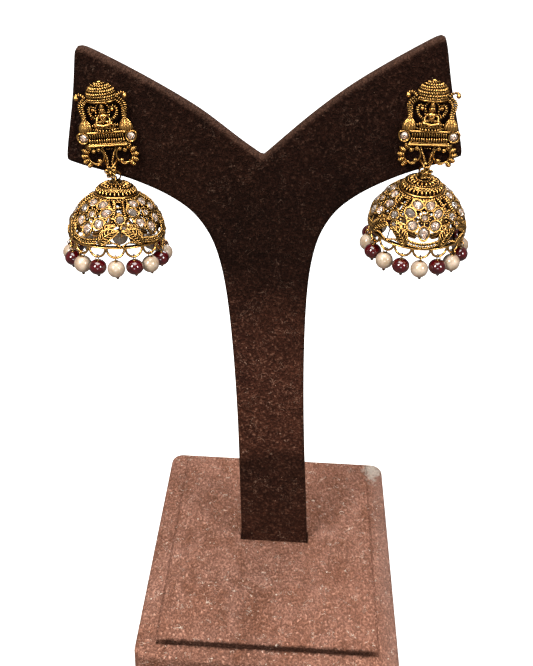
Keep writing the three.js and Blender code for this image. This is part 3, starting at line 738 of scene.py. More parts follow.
ANTIQUE_GOLD = gold_material(
    "antique_gold", (0.88, 0.485, 0.14), (0.022, 0.008, 0.003), 0.38, 1.1, 0.20)
SHADOWED_GOLD = gold_material(
    "shadowed_gold", (0.22, 0.105, 0.032), (0.008, 0.004, 0.002), 0.5, 1.6, 0.42)
# Painted shade: a near-black gold for insides, hollows between parts and the backs of things
INNER_GOLD = gold_material(
    "shaded_inside_gold", (0.035, 0.016, 0.008), (0.006, 0.003, 0.002), 0.4, 2.0, 0.6)
CLEAR_STONE = stone_material()
FOIL = foil_material()
NACRE = pearl_material()
RUBY = ruby_material()
BOARD_SUEDE = board_suede_material()
BASE_SUEDE = base_suede_material()

# Metals of the cast pieces in the order of their finish numbers; the bright gold is 0, and the shadowed
# gold and the dark inside gold stand for painted shade
METALS = [ANTIQUE_GOLD, SHADOWED_GOLD, FOIL, INNER_GOLD]
DARK, MIRROR, INSIDE = 1, 2, 3

# Metals of a bead's pin, after the bead's own material
PIN_METALS = [ANTIQUE_GOLD, SHADOWED_GOLD]
PIN, PIN_HEAD = 1, 2


# Display stand

def rounded_rectangle(width, depth, corner, steps=8):
    outline = []
    for quarter, (sx, sy) in enumerate([(1, -1), (1, 1), (-1, 1), (-1, -1)]):
        for step in range(steps + 1):
            angle = (quarter - 1 + step / steps) * math.pi / 2
            outline.append((sx * (width / 2 - corner) + corner * math.cos(angle),
                            sy * (depth / 2 - corner) + corner * math.sin(angle)))
    return np.array(outline)


def board_outline():
    under = [(ARM_UNDERSIDE[0][0], -BOARD["tenon"]), *spline(ARM_UNDERSIDE, 12)]
    side = spline(ARM_SIDE, 5)
    right, left = (np.vstack([under, side, spline(ARM_TOP[hand], 8)]) for hand in ("right", "left"))
    return evenly(np.vstack([right, [(0, NOTCH_HEIGHT)], left[::-1] * (-1, 1)]), 0.9, True)


def inset_outline(outline, distance):
    """The outline moved inwards, for an outline that runs to the left."""
    along = np.roll(outline, -1, 0) - np.roll(outline, 1, 0)
    along /= np.linalg.norm(along, axis=1, keepdims=True)
    return outline + distance * np.stack([-along[:, 1], along[:, 0]], -1)


def slab(work, outline, thickness, bevel, place, steps=5):
    """A slab with rounded edges over a flat outline, from height 0 up to its thickness."""
    quarter = np.linspace(0, math.pi / 2, steps)
    low = [(bevel * (1 - math.sin(a)), bevel * (1 - math.cos(a))) for a in quarter]
    rows = low + [(inset, thickness - height) for inset, height in reversed(low)]
    rings = [standing(inset_outline(outline, inset), height) for inset, height in rows]
    count = len(outline)
    blocks = [grid(len(rows), count)]
    top = np.arange(count) + (len(rows) - 1) * count
    blocks.append(np.arange(count)[::-1][None])
    blocks.append(top[None])
    work.add(placed(np.vstack(rings), place), blocks)


def cut_from(piece, cutter_work):
    """Cuts the closed bodies in a work out of a piece."""
    cutter_mesh = bpy.data.meshes.new("cutter")
    points = np.concatenate(cutter_work.points) * MM
    faces = [tuple(row) for block in cutter_work.faces for row in block]
    cutter_mesh.from_pydata(points.tolist(), [], faces)
    cutter = show("cutter", cutter_mesh)
    modifier = piece.modifiers.new("cut", "BOOLEAN")
    modifier.operation = "DIFFERENCE"
    modifier.solver = "EXACT"
    modifier.object = cutter
    bpy.context.view_layer.update()
    depsgraph = bpy.context.evaluated_depsgraph_get()
    cut = bpy.data.meshes.new_from_object(piece.evaluated_get(depsgraph))
    cut.set_sharp_from_angle(angle=math.radians(30))
    piece.modifiers.clear()
    piece.data = cut
    bpy.data.objects.remove(cutter)
    bpy.data.meshes.remove(cutter_mesh)


def box_corners(work, low, high, place=None):
    (x0, y0, z0), (x1, y1, z1) = low, high
    points = np.array([
        (x0, y0, z0), (x1, y0, z0), (x1, y1, z0), (x0, y1, z0),
        (x0, y0, z1), (x1, y0, z1), (x1, y1, z1), (x0, y1, z1)])
    faces = [(0, 3, 2, 1), (4, 5, 6, 7), (0, 1, 5, 4), (1, 2, 6, 5), (2, 3, 7, 6), (3, 0, 4, 7)]
    work.add(points if place is None else placed(points, place), [np.array(faces)], smooth=False)


BOARD_PLACE = move(BOARD["foot_x"], 0, BASE["height"]) @ turn(-BOARD["lean"], "Y")


def make_base():
    work = Work()
    outline = rounded_rectangle(BASE["width"], BASE["depth"], BASE["corner"])
    slab(work, outline, BASE["height"], BASE["bevel"], np.eye(4))
    piece = make_piece("base_cover", work, [BASE_SUEDE], "stand", ["base"])
    inner = BASE["width"] / 2 - GROOVE["inset"]
    front = -BASE["depth"] / 2 + GROOVE["inset"]
    back = BASE["depth"] / 2 - GROOVE["back_margin"]
    low, high = BASE["height"] - GROOVE["depth"], BASE["height"] + GROOVE["depth"]
    half = GROOVE["width"] / 2
    cuts = [((x - half, front, low), (x + half, back, high), None) for x in (-inner, inner)]
    half, low = GROOVE["front_width"] / 2, BASE["height"] - GROOVE["front_depth"]
    cuts.append(((-inner, front - half, low), (inner, front + half, high), None))
    foot = ARM_UNDERSIDE[0][0] + SEAT_GAP
    cuts.append(((-foot, BOARD["front"] - SEAT_GAP, -BOARD["tenon"] - SEAT_GAP),
                 (foot, BOARD["front"] + BOARD["thickness"] + SEAT_GAP, BOARD["tenon"]), BOARD_PLACE))
    for low_corner, high_corner, place in cuts:
        cutter = Work()
        box_corners(cutter, low_corner, high_corner, place)
        cut_from(piece, cutter)
    return piece


def make_board():
    work = Work()
    upright = BOARD_PLACE @ move(0, BOARD["front"] + BOARD["thickness"], 0) @ turn(90, "X")
    slab(work, board_outline(), BOARD["thickness"], BOARD["bevel"], upright)
    piece = make_piece("board_cover", work, [BOARD_SUEDE], "stand", ["board"])
    for earring in EARRINGS.values():
        hole = Work(stud_place(earring) @ move(0, 0, POST_HEIGHT) @ turn(90, "X"))
        lathe(hole, [(POST["hole"], -POST["hole_reach"]), (POST["hole"], POST["hole_reach"])], 16)
        cut_from(piece, hole)
    return piece


# Studs

def stud_place(earring):
    return (move(earring["stud_x"], BOARD["front"] - SEAT_GAP, earring["stud_z"])
            @ turn(earring["stud_lean"], "Y"))


CANOPY_ROWS = [
    (3.12, 0.1), (3.12, 0.68), (3.02, 1.24), (2.78, 1.78), (2.4, 2.28), (1.86, 2.7), (1.1, 3.02),
]


def canopy(work):
    """A dome of slanting grains, each row leaning against the one below it."""
    foot = move(0, 0, 15.85) @ stretch(1, 0.78, 1.05)
    front = circle(1, 30, 0, math.pi, math.pi, closed=False)
    for row, (radius, height) in enumerate(CANOPY_ROWS):
        line = placed(front * (radius, radius, 1) + (0, 0, height), foot)
        grains(work, line, (0.18, 0.4, 0.38), 0.5, 45 if row % 2 else -45)
    core = np.array([(2.85, -0.2), (2.9, 0.6), (2.65, 1.6), (2.05, 2.45), (1.2, 2.9), (0.3, 3.1)])
    angle = math.pi + math.pi * np.arange(17) / 16
    points = np.stack([
        core[:, :1] * np.cos(angle), core[:, :1] * np.sin(angle),
        np.repeat(core[:, 1:], 17, 1)], -1).reshape(-1, 3)
    work.add(placed(points, foot), [grid(len(core), 17, False, False)], DARK)
    rail = placed(circle(3.2, 26, -0.32, math.pi, math.pi, closed=False), foot)
    wire(work, rail, 0.2, 6)
    ball(work, move(0, -0.35, 19.4) @ stretch(0.62, 0.5, 0.3), 1)


def tassel(work, side):
    place = move(side * 4.45, -RELIEF, 10.1) @ stretch(1, 0.62, 1)
    skirt = [(0.5, -1.78), (0.98, -1.7), (1.3, -1.15), (1.38, -0.7), (1.24, -0.05), (0.86, 0.6),
             (0.5, 1.1), (0.36, 1.35)]
    lathe(work, skirt, 96, place, flutes=12, flute_depth=0.13)
    for radius, height, thick in ((0.42, 1.42, 0.2), (0.46, 1.86, 0.17), (0.38, 2.2, 0.15)):
        wire(work, placed(circle(radius, 14, height), place), thick, 6, True)
    hem = placed(circle(0.98, 26, -1.72), place)
    wire(work, hem, 0.1, 5, True)


def pillar(work, side):
    """Two rows of grains from the canopy's corner down to a tassel, under a curl."""
    spine = spline(on_side(side, [
        (3.3, -RELIEF, 15.75), (4.1, -RELIEF, 15.3), (4.75, -RELIEF, 14.3), (4.65, -RELIEF, 13.2),
        (4.45, -RELIEF, 12.2)]), 6)
    for offset, high in ((-0.45, 0.42), (0.45, 0.46)):
        narrow = np.linspace(1.0, 0.5, len(spine))
        line = spine + np.column_stack([
            offset * narrow, np.zeros(len(spine)), 0.3 * offset * side * narrow])
        grains(work, line, (0.17, high, 0.42), 0.5, 14 * side, core=0.24)
    curl = spline(on_side(side, [
        (3.45, -RELIEF, 16.05), (4.0, -RELIEF - 0.1, 16.75), (4.7, -RELIEF - 0.15, 17.05),
        (5.3, -RELIEF - 0.1, 16.85), (5.5, -RELIEF, 16.45)]), 6)
    grains(work, curl, (0.16, 0.4, 0.36), 0.46, core=0.24)
    ball(work, move(side * 5.3, -RELIEF - 0.2, 16.35), 0.56)
    tassel(work, side)


def arm_scroll(work, side):
    line = spline(on_side(side, [
        (1.15, -RELIEF, 10.9), (1.8, -RELIEF, 11.3), (2.6, -RELIEF, 12.0), (3.05, -RELIEF, 13.0),
        (2.95, -RELIEF, 13.9), (2.3, -RELIEF, 14.3), (1.85, -RELIEF, 13.9),
        (2.0, -RELIEF - 0.1, 13.45)]), 7)
    grains(work, line, (0.17, 0.42, 0.36), 0.48, core=0.22)
    ball(work, move(side * 2.1, -RELIEF - 0.25, 13.55), 0.42)


def seated_figure(work):
    """A calm seated figure with a tall crown, plain and generic."""
    y, kept = -1.45, work.place
    work.place = (kept @ move(0, 0, FIGURE["seat"])
                  @ stretch(FIGURE["wide"], FIGURE["deep"], FIGURE["tall"])
                  @ move(0, 0, -FIGURE["seat"]))
    body = move(0, y, 10.9) @ stretch(1, 0.72, 1)
    lathe(work, [(0.62, -0.1), (0.66, 0.25), (0.58, 0.6), (0.74, 1.0), (0.86, 1.28), (0.7, 1.5),
                 (0.28, 1.66), (0.24, 1.86)], 14, body)
    head = move(0, y - 0.06, 13.18)
    ball(work, head @ stretch(0.54, 0.5, 0.62), 1, 14, 10)
    ball(work, head @ move(0, -0.44, -0.05) @ stretch(0.09, 0.12, 0.15), 1, 6, 4)
    for side in (-1, 1):
        ball(work, head @ move(side * 0.2, -0.38, 0.1) @ stretch(0.12, 0.08, 0.05), 1, 6, 4)
        ball(work, head @ move(side * 0.5, 0.02, -0.1) @ stretch(0.1, 0.12, 0.26), 1, 6, 4)
        ball(work, head @ move(side * 0.54, -0.02, -0.42), 0.13, 6, 4)
    ball(work, head @ move(0, -0.36, -0.3) @ stretch(0.16, 0.09, 0.05), 1, 6, 4)
    wire(work, placed(circle(0.52, 16, 0.28), head), 0.11, 5, True)
    lathe(work, [(0.5, 0.3), (0.44, 0.62), (0.46, 0.68), (0.34, 0.92), (0.36, 0.98), (0.14, 1.3),
                 (0.05, 1.5)], 12, head, flutes=6, flute_depth=0.05)
    for side in (-1, 1):
        shoulder = (side * 0.8, y, 12.05)
        elbow = (side * 1.25, y - 0.2, 11.5)
        hand = (side * 1.2, y - 0.75, 10.95)
        wire(work, spline([shoulder, elbow, hand], 6), 0.18, 7)
        ball(work, move(*hand) @ stretch(0.2, 0.16, 0.26), 1, 8, 5)
        ball(work, move(*shoulder), 0.3, 8, 5)
        for reach in (0.35, 0.62):
            cuff = np.array(elbow) * reach + np.array(hand) * (1 - reach)
            ball(work, move(*cuff) @ stretch(0.26, 0.24, 0.08), 1, 8, 4)
        leg = spline(on_side(side, [
            (0.4, y, 10.85), (1.45, y - 0.3, 10.8), (1.0, y - 0.8, 10.5), (-0.3, y - 0.98, 10.32)]), 6)
        wire(work, leg, np.linspace(0.36, 0.2, len(leg)), 8)
        ball(work, move(-side * 0.5, y - 0.98, 10.3) @ stretch(0.3, 0.16, 0.13), 1, 8, 5)
        granules(work, on_side(side, [(0.35, y - 0.72, 11.9), (0.18, y - 0.76, 11.6)]), 0.11)
        beside_head = [(1.3, y - 0.35, 12.3), (1.15, y - 0.35, 12.85), (1.35, y - 0.35, 13.3)]
        granules(work, on_side(side, beside_head), 0.17)
    granules(work, [(0, y - 0.78, 11.42), (0, y - 0.7, 10.95)], 0.12)
    halo = [(1.3 * math.cos(a), -0.95, 13.1 + 1.5 * math.sin(a))
            for a in np.linspace(-0.3, 3.44, 13)]
    granules(work, halo, 0.2)
    work.place = kept


def lotus(work):
    """Two rows of petals round a drum, the upper row standing and the lower one hanging."""
    for count, reach, height, lean, size in ((8, 2.3, 9.95, 4, (0.24, 0.24, 0.52)),
                                             (10, 2.3, 9.0, -10, (0.21, 0.22, 0.42))):
        for i in range(count):
            angle = math.pi + math.pi * (i + 0.5) / count
            place = (move(reach * math.cos(angle), -0.95 + 0.5 * reach * math.sin(angle), height)
                     @ turn(math.degrees(angle) + 90, "Z") @ turn(lean, "X"))
            ball(work, place @ stretch(*size), 1, 8, 6)
    line = circle(2.15, 24, 9.58, math.pi, math.pi, closed=False) * (1, 0.5, 1)
    wire(work, placed(line, move(0, -0.95, 0)), 0.11, 6)
    lathe(work, [(1.7, 8.7), (2.05, 9.3), (2.0, 9.9), (1.8, 10.35)], 24,
          move(0, -0.8, 0) @ stretch(1, 0.42, 1), INSIDE)
    for side in (-1, 1):
        granules(work, [(side * 2.75, -1.0, 9.95), (side * 2.75, -0.95, 9.05)], 0.26)


def platform(work, stones):
    y = -RELIEF
    for half, z, out, thick in ((4.1, 8.6, 1.6, 0.24), (4.0, 8.3, 1.4, 0.12),
                                (4.15, 5.75, 1.95, 0.24), (4.0, 6.05, 1.7, 0.12)):
        line = [(-half, -0.35, z), (-half, -out + 0.2, z), (-half + 0.25, -out, z),
                (half - 0.25, -out, z), (half, -out + 0.2, z), (half, -0.35, z)]
        wire(work, spline(line, 5), thick, 7)
    box_corners(work, (-3.85, -1.1, 5.6), (3.85, -0.1, 8.7))
    work.finishes[-1][:] = INSIDE
    for half, z, out, count, size in ((3.6, 7.72, 1.4, 15, (0.17, 0.26, 0.62)),
                                      (3.75, 6.62, 1.6, 15, (0.21, 0.34, 0.6))):
        for i in range(count):
            x = -half + 2 * half * i / (count - 1)
            ball(work, move(x, -out, z) @ turn(8, "X") @ stretch(*size), 1, 8, 7)
    for side in (-1, 1):
        place = move(side * 5.3, y, 7.3) @ turn(90, "X")
        tip = 40 if side > 0 else 140
        outline = placed(standing(drop_outline(1.2, 0.34, 1.0, 24), 0), turn(tip, "Z"))[:, :2]
        collar(work, outline, [(0.9, -0.8), (1.0, -0.5), (1.0, 0.35), (0.93, 0.5), (0.8, 0.48),
                               (0.74, 0.1)], place)
        wire(work, placed(standing(outline * 0.95, 0.46), place), 0.13, 6, True)
        collar(work, circle(0.92, 20)[:, :2], [(1.0, 0.1), (0.5, -0.25), (0.02, -0.4)], place, MIRROR)
        stone(stones, place @ move(0, 0, 0.12), 0.82, 0.42)
        wire(work, on_side(side, [(4.15, -0.7, 7.0), (4.6, -0.8, 7.1)]), 0.25, 6)


def shell(work, place):
    """A little spiral shell: stacked rings, widest in the middle."""
    for at, radius in ((-0.5, 0.3), (-0.18, 0.44), (0.16, 0.44), (0.46, 0.32)):
        ring = circle(radius, 12, at)
        wire(work, placed(ring, place), 0.17, 6, True)
    ball(work, place @ move(0, 0, 0.66), 0.2, 8, 5)
    lathe(work, [(0.3, -0.6), (0.36, 0), (0.3, 0.6)], 10, place, DARK)


def lower_scroll(work, side):
    """An open loop with shells on its outer side, and the braces down to the flower."""
    x0, z0 = side * 3.2, 3.1

    def on_loop(degrees, reach, out=0.0):
        angle = math.radians(degrees)
        return (x0 + side * reach * math.cos(angle), -RELIEF - out, z0 + reach * math.sin(angle))

    loop = [on_loop(a, 1.85) for a in np.arange(-250, 81, 12)]
    wire(work, loop, 0.2, 7)
    edge = [on_loop(a, 2.08, 0.12) for a in np.arange(-60, 65, 10)]
    grains(work, edge, (0.16, 0.24, 0.22), 0.34)
    neck = spline([(x0 - side * 0.9, -RELIEF, 5.3), (x0 - side * 0.2, -RELIEF - 0.1, 5.35),
                   (x0 + side * 0.8, -RELIEF, 4.95), (x0 + side * 1.6, -RELIEF, 4.5)], 6)
    grains(work, neck, (0.2, 0.36, 0.34), 0.4, core=0.26)
    wire(work, [(x0, -0.5, 5.7), (x0 + side * 0.2, -0.8, 5.2)], 0.3, 6)
    for degrees in (58, 30, 3, -24, -50):
        x, y, z = on_loop(degrees, 2.5, 0.2)
        place = move(x, y, z) @ turn(-side * degrees + (90 if side > 0 else -90), "Y")
        shell(work, place @ stretch(1.08, 1.08, 1.0))
    curl = spline([on_loop(-75, 1.95), on_loop(-95, 2.15), on_loop(-115, 1.95), on_loop(-120, 1.5)], 5)
    wire(work, curl, 0.22, 7)
    for degrees, reach in ((-122, 1.35), (118, 1.75), (75, 1.25)):
        x, y, z = on_loop(degrees, reach, 0.2)
        ball(work, move(x, y, z), 0.42)
        wire(work, placed(circle(0.36, 10), move(x, y - 0.2, z) @ turn(90, "X")), 0.12, 5, True)
    brace = spline(on_side(side, [
        (1.75, -0.7, 5.6), (1.25, -1.1, 4.2), (0.62, -1.8, 2.6), (0.45, -2.6, 1.4)]), 6)
    grains(work, brace, (0.15, 0.27, 0.25), 0.33, core=0.16)
    outer = spline(on_side(side, [(1.3, -RELIEF, 1.9), (0.9, -1.9, 1.5), (0.5, -2.9, 0.9)]), 5)
    wire(work, outer, 0.26, 7)


def flower(work):
    centre = move(0, -FLOWER_OUT, 0) @ turn(90, "X")
    for i in range(5):
        petal = centre @ turn(90 + 72 * i, "Z") @ move(0.78, 0, 0)
        wire(work, placed(standing(drop_outline(0.42, 0.15, 1.15, 14), 0.28), petal), 0.15, 6, True)
        ball(work, petal @ move(0, 0, 0.1) @ stretch(0.42, 0.34, 0.16), 1, 10, 5, DARK)
        ball(work, petal @ move(0.05, 0, 0.22) @ stretch(0.24, 0.09, 0.1), 1, 8, 4)
    ball(work, centre @ move(0, 0, 0.38), 0.36)
    lathe(work, [(0.9, -0.3), (1.0, -0.1), (0.85, 0.05)], 20, centre, DARK)


def hanger(work, earring):
    """The eye that the ring hangs from, and the arm that holds it; in the part's frame."""
    eye = eye_height(earring)
    x, y = earring["drop_x"], BOARD["front"] - HANG
    back = BOARD["front"] - SEAT_GAP
    arm = spline([(x, back - 0.1, eye + 1.75), (x, back - 0.9, eye + 1.7), (x, y, eye + 1.55),
                  (x, back - 2.6, eye + 1.6)], 5)
    wire(work, arm, 0.42, 8)
    ring = placed(circle(EYE["radius"], 22), move(x, y, eye + EYE["radius"]) @ turn(90, "Y"))
    wire(work, ring, EYE["stud_strand"], 8, True)
    ball(work, move(x, y, eye + 1.5) @ stretch(0.5, 0.55, 0.32), 1, 10, 6)


def eye_height(earring):
    return earring["cap_top"] + CAP_TO_EYE + 2 * RING["radius"] - 2 * LINK_DROP


def make_stud(side, earring):
    place = stud_place(earring)
    work, stones = Work(place), Work(place)
    canopy(work)
    seated_figure(work)
    lotus(work)
    platform(work, stones)
    flower(work)
    for hand in (-1, 1):
        pillar(work, hand)
        arm_scroll(work, hand)
        lower_scroll(work, hand)
    granules(work, [(x, -RELIEF, 4.6) for x in (-0.55, 0.0, 0.55)], 0.15)
    wire(work, [(0, -0.6, 13.4), (0, -0.55, 12.2), (0, -0.6, 11.2)], 0.5, 8, finish=DARK)
    wire(work, [(-4.2, -0.45, 14.6), (0, -0.35, 14.9), (4.2, -0.45, 14.6)], 0.2, 6, finish=DARK)
    post = [(0, POST["front"], POST_HEIGHT), (0, POST["back"], POST_HEIGHT)]
    wire(work, post, POST["radius"], 12)
    work.place = np.eye(4)
    hanger(work, earring)
    make_piece(f"cast_stud_{side}", work, METALS, "stand", [f"stud_{side}"])
    make_piece(f"stud_stones_{side}", stones, [CLEAR_STONE], "stand")


def make_nut(side, earring):
    y = SEAT_GAP + BOARD["thickness"] + NUT["gap"]
    place = stud_place(earring) @ move(0, y, POST_HEIGHT) @ turn(-90, "X")
    work = Work(place)
    high, wide = NUT["thickness"], NUT["radius"]
    rows = [(0.75, 0.0), (0.93 * wide, 0.0), (wide, 0.16), (wide, 0.5), (0.93 * wide, 0.66),
            (0.6 * wide, 0.8), (0.42 * wide, 1.1), (0.5 * wide, 1.5), (0.62 * wide, 1.9),
            (0.58 * wide, high), (0.75, high)]
    lathe(work, rows, 60, flutes=30, flute_depth=0.006)
    make_piece(f"turned_nut_{side}", work, METALS, "stand", [f"post_nut_{side}"])


def make_jump_ring(side, earring):
    centre = eye_height(earring) + LINK_DROP - RING["radius"]
    place = move(earring["drop_x"], BOARD["front"] - HANG, centre) @ turn(90, "X")
    work = Work(place)
    for shift in (-RING["apart"], RING["apart"]):
        wire(work, circle(RING["radius"] + RING["swell"], 36, shift), RING["strand"], 8, True)
    make_piece(f"wound_ring_{side}", work, [SHADOWED_GOLD], f"ring_{side}",
               [f"jump_ring_{side}"])


# Bells

PHI_PER_MM = math.degrees(2 / (DOME["radius"] + DOME["rise"]))


def dome_point(phi, lift):
    angle = np.radians(phi)
    nx, nz = DOME["rise"] * np.sin(angle), DOME["radius"] * np.cos(angle)
    length = np.hypot(nx, nz)
    down = np.clip((phi - DOME["top"]) / (DOME["rim"] - DOME["top"]), 0, 1)
    slim = 1 - DOME["waist"] * (1 - down ** 3)
    radius = DOME["radius"] * np.sin(angle) * slim + lift * nx / length
    height = -DOME["centre"] + DOME["rise"] * np.cos(angle) + lift * nz / length
    return radius, height


def around(azimuth, phi, lift=0.0):
    """Points of the dome from azimuth and phi in degrees, and lift in millimetres."""
    radius, height = dome_point(np.asarray(phi, float), lift)
    angle = np.radians(azimuth)
    return np.stack(np.broadcast_arrays(
        radius * np.sin(angle), -radius * np.cos(angle), height), -1)


def onto_panel(middle, phi_middle=ROSETTE["phi"]):
    """Wraps flat work (across, up, lift), in millimetres, round a place on the dome."""
    def bend(points):
        phi = phi_middle - points[:, 1] * PHI_PER_MM
        radius, _ = dome_point(phi, 0.0)
        azimuth = middle + np.degrees(points[:, 0] / radius)
        return around(azimuth, phi, points[:, 2])
    return bend


def bell_place(earring):
    return (move(earring["drop_x"], BOARD["front"] - HANG,
                 earring["cap_top"] + CAP_TO_EYE - LINK_DROP)
            @ turn(earring["nod"], "X") @ move(0, 0, LINK_DROP - CAP_TO_EYE))


def on_panel(across, up):
    phi = ROSETTE["phi"] - up * PHI_PER_MM
    return math.degrees(across / dome_point(phi, 0.0)[0]), -phi


def rounded(polygon, steps=3):
    """A flat closed outline with its corners eased."""
    return spline(np.array(polygon), steps, True)


def pierced_sheet(work, middle):
    """One quarter of the dome's sheet, with its gaps cut through."""
    edge = 180 / PANELS
    slots = []
    for low, high in SLOTS["spans"]:
        inset = [math.degrees(SLOTS["half"] / dome_point(phi, 0.0)[0]) for phi in (low, high)]
        slots += [(edge, -low), (edge - inset[0], -low - SLOTS["taper"]),
                  (edge - inset[1], -high + SLOTS["taper"]), (edge, -high)]
    right = [(edge, -DOME["top"]), *slots, (edge, -70), (edge, -85), (edge, -DOME["rim"])]
    across = [edge - edge * i / 8 for i in range(1, 16)]
    bottom = [(a, -DOME["rim"]) for a in across]
    left = [(-a, p) for a, p in reversed(right)]
    top = [(a, -DOME["top"]) for a in reversed(across)]
    outline = right + bottom + left + top
    loops = [outline]
    gaps = [TOP_GAP]
    for rows in SIDE_GAPS.values():
        gaps += [rows, [(-a, u) for a, u in reversed(rows)]]
    for i in range(ROSETTE["petals"]):
        angle = math.radians(-90 + (i + 0.5) * 360 / ROSETTE["petals"])
        if abs(math.degrees(angle) - 90) > 1:
            middle_of_gap = np.array(polar(PETAL_GAP["reach"], angle)[:2])
            gaps.append([middle_of_gap + polar(PETAL_GAP["radius"], corner)[:2]
                         for corner in PETAL_GAP["corners"]])
    loops += [[on_panel(a, u) for a, u in rounded(rows)] for rows in gaps]
    triangles = np.array(tessellate_polygon([[Vector((*p, 0)) for p in loop] for loop in loops]))
    flat = np.array([p for loop in loops for p in loop])
    a, b, c = (flat[triangles[:, k]] for k in range(3))
    area = (b[:, 0] - a[:, 0]) * (c[:, 1] - a[:, 1]) - (c[:, 0] - a[:, 0]) * (b[:, 1] - a[:, 1])
    triangles[area < 0] = triangles[area < 0][:, ::-1]
    count = len(flat)
    front = around(flat[:, 0] + middle, -flat[:, 1], SHEET["front"])
    back = around(flat[:, 0] + middle, -flat[:, 1], SHEET["back"])
    walls, start = [], 0
    for loop in loops:
        ring = start + np.arange(len(loop))
        turned = sum(p[0] * q[1] - q[0] * p[1] for p, q in zip(loop, loop[1:] + loop[:1]))
        if (turned > 0) != (loop is outline):
            ring = ring[::-1]
        after = np.roll(ring, -1)
        walls.append(np.stack([ring, ring + count, after + count, after], -1))
        start += len(loop)
    shell = np.vstack([front, back])
    work.add(shell, [triangles], DARK, smooth=False)
    work.add(shell, [triangles[:, ::-1] + count, np.vstack(walls)], INSIDE, smooth=False)


def set_stone(gold, stones, across, up, radius, tip=0.0, aim=0.0, lengthen=1.0, prongs=4, lift=0.0):
    """A cut stone in its bezel: a foil cup, a wall with a bright edge, and little prongs."""
    place = move(across, up, lift) @ turn(aim, "Z")
    outline = drop_outline(radius + 0.3, tip, lengthen, 22)
    collar(gold, outline, [(1.04, -0.1), (1.04, 0.3), (0.99, 0.46), (0.9, 0.5), (0.8, 0.4),
                           (0.76, 0.15)], place)
    wire(gold, placed(standing(outline * 0.98, 0.47), place), 0.12, 5, True)
    seat = place @ stretch(lengthen, 1, 1)
    collar(gold, circle(radius + 0.08, 16)[:, :2], [(1.0, 0.22), (0.6, -0.05), (0.02, -0.2)], seat,
           MIRROR)
    stone(stones, seat @ move(0, 0, 0.24), radius, 0.5)
    for i in range(prongs):
        angle = TURN * (i + 0.5) / prongs
        ball(gold, move(*placed([polar(radius + 0.04, angle, 0.5)], seat)[0]), 0.13, 6, 4)


def rosette(gold, stones):
    """Seven petals with stones round a small middle stone, on a panel."""
    set_stone(gold, stones, 0, 0, 0.62, prongs=7, lift=0.05)
    for i in range(ROSETTE["petals"]):
        degrees = -90 + i * 360 / ROSETTE["petals"]
        lowest = i == 0
        reach = ROSETTE["lowest"] if lowest else ROSETTE["ring"]
        angle = math.radians(degrees)
        across, up, _ = polar(reach, angle)
        set_stone(gold, stones, across, up, ROSETTE["stone"], tip=0.2, aim=degrees + 180 * (i % 2),
                  lengthen=1.25 if lowest else 1.0)
        half = math.radians(degrees + 180 / ROSETTE["petals"])
        for distance, size in ((1.32, 0.2), (2.35, 0.24), (3.95, 0.3)):
            ball(gold, move(*polar(distance, half, 0.35)) @ stretch(1, 1, 0.9), size, 8, 5)
        wire(gold, spline([polar(0.95, angle, 0.3), polar(2.0, angle, 0.35)], 3), 0.16, 6)
        vee = [polar(4.35, half - 0.2, 0.3), polar(3.7, half, 0.42), polar(4.35, half + 0.2, 0.3)]
        if not lowest:
            wire(gold, spline(vee, 4), 0.14, 6)


def leaf(work, root, tip, width, bow, veins, lift):
    """A leaf from root to tip, bowed sideways: a blade in painted shade, a bright edge, midrib and
    veins.
    """
    root, tip = np.array(root, float), np.array(tip, float)
    along = tip - root
    length = np.linalg.norm(along)
    along /= length
    beside = np.array([-along[1], along[0]])

    def on_leaf(u, v, out):
        """A point at share u of the length and share v of the half width."""
        half = 0.5 * width * math.sin(math.pi * min(max(u, 0.02), 0.985) ** 0.85) ** 0.75
        flat = root + along * length * u + beside * (bow * math.sin(math.pi * u) + v * half)
        return (*flat, lift + out + 0.32 * (1 - v * v) * math.sin(math.pi * u))

    rows, columns = 14, 7
    blade = np.array([on_leaf(u, v, 0.0) for u in np.linspace(0, 1, rows)
                      for v in np.linspace(-1, 1, columns)])
    faces = grid(rows, columns, False, False)
    work.add(blade, [faces[:, ::-1]], INSIDE)
    work.add(blade * (1, 1, 0) + (0, 0, lift - 0.3), [faces], INSIDE)
    shares = np.linspace(0, 1, 12)
    for v in (-1, 1):
        wire(work, [on_leaf(u, v, 0.05) for u in shares], 0.16, 6)
    wire(work, [on_leaf(u, 0, 0.08) for u in shares], 0.13, 6)
    for k in range(veins):
        start = (k + 0.4) / (veins + 0.6)
        for v in (-1, 1):
            vein = [on_leaf(start + 0.16 * t, v * t, 0.07) for t in (0.05, 0.35, 0.7, 0.95)]
            wire(work, vein, 0.125, 5)


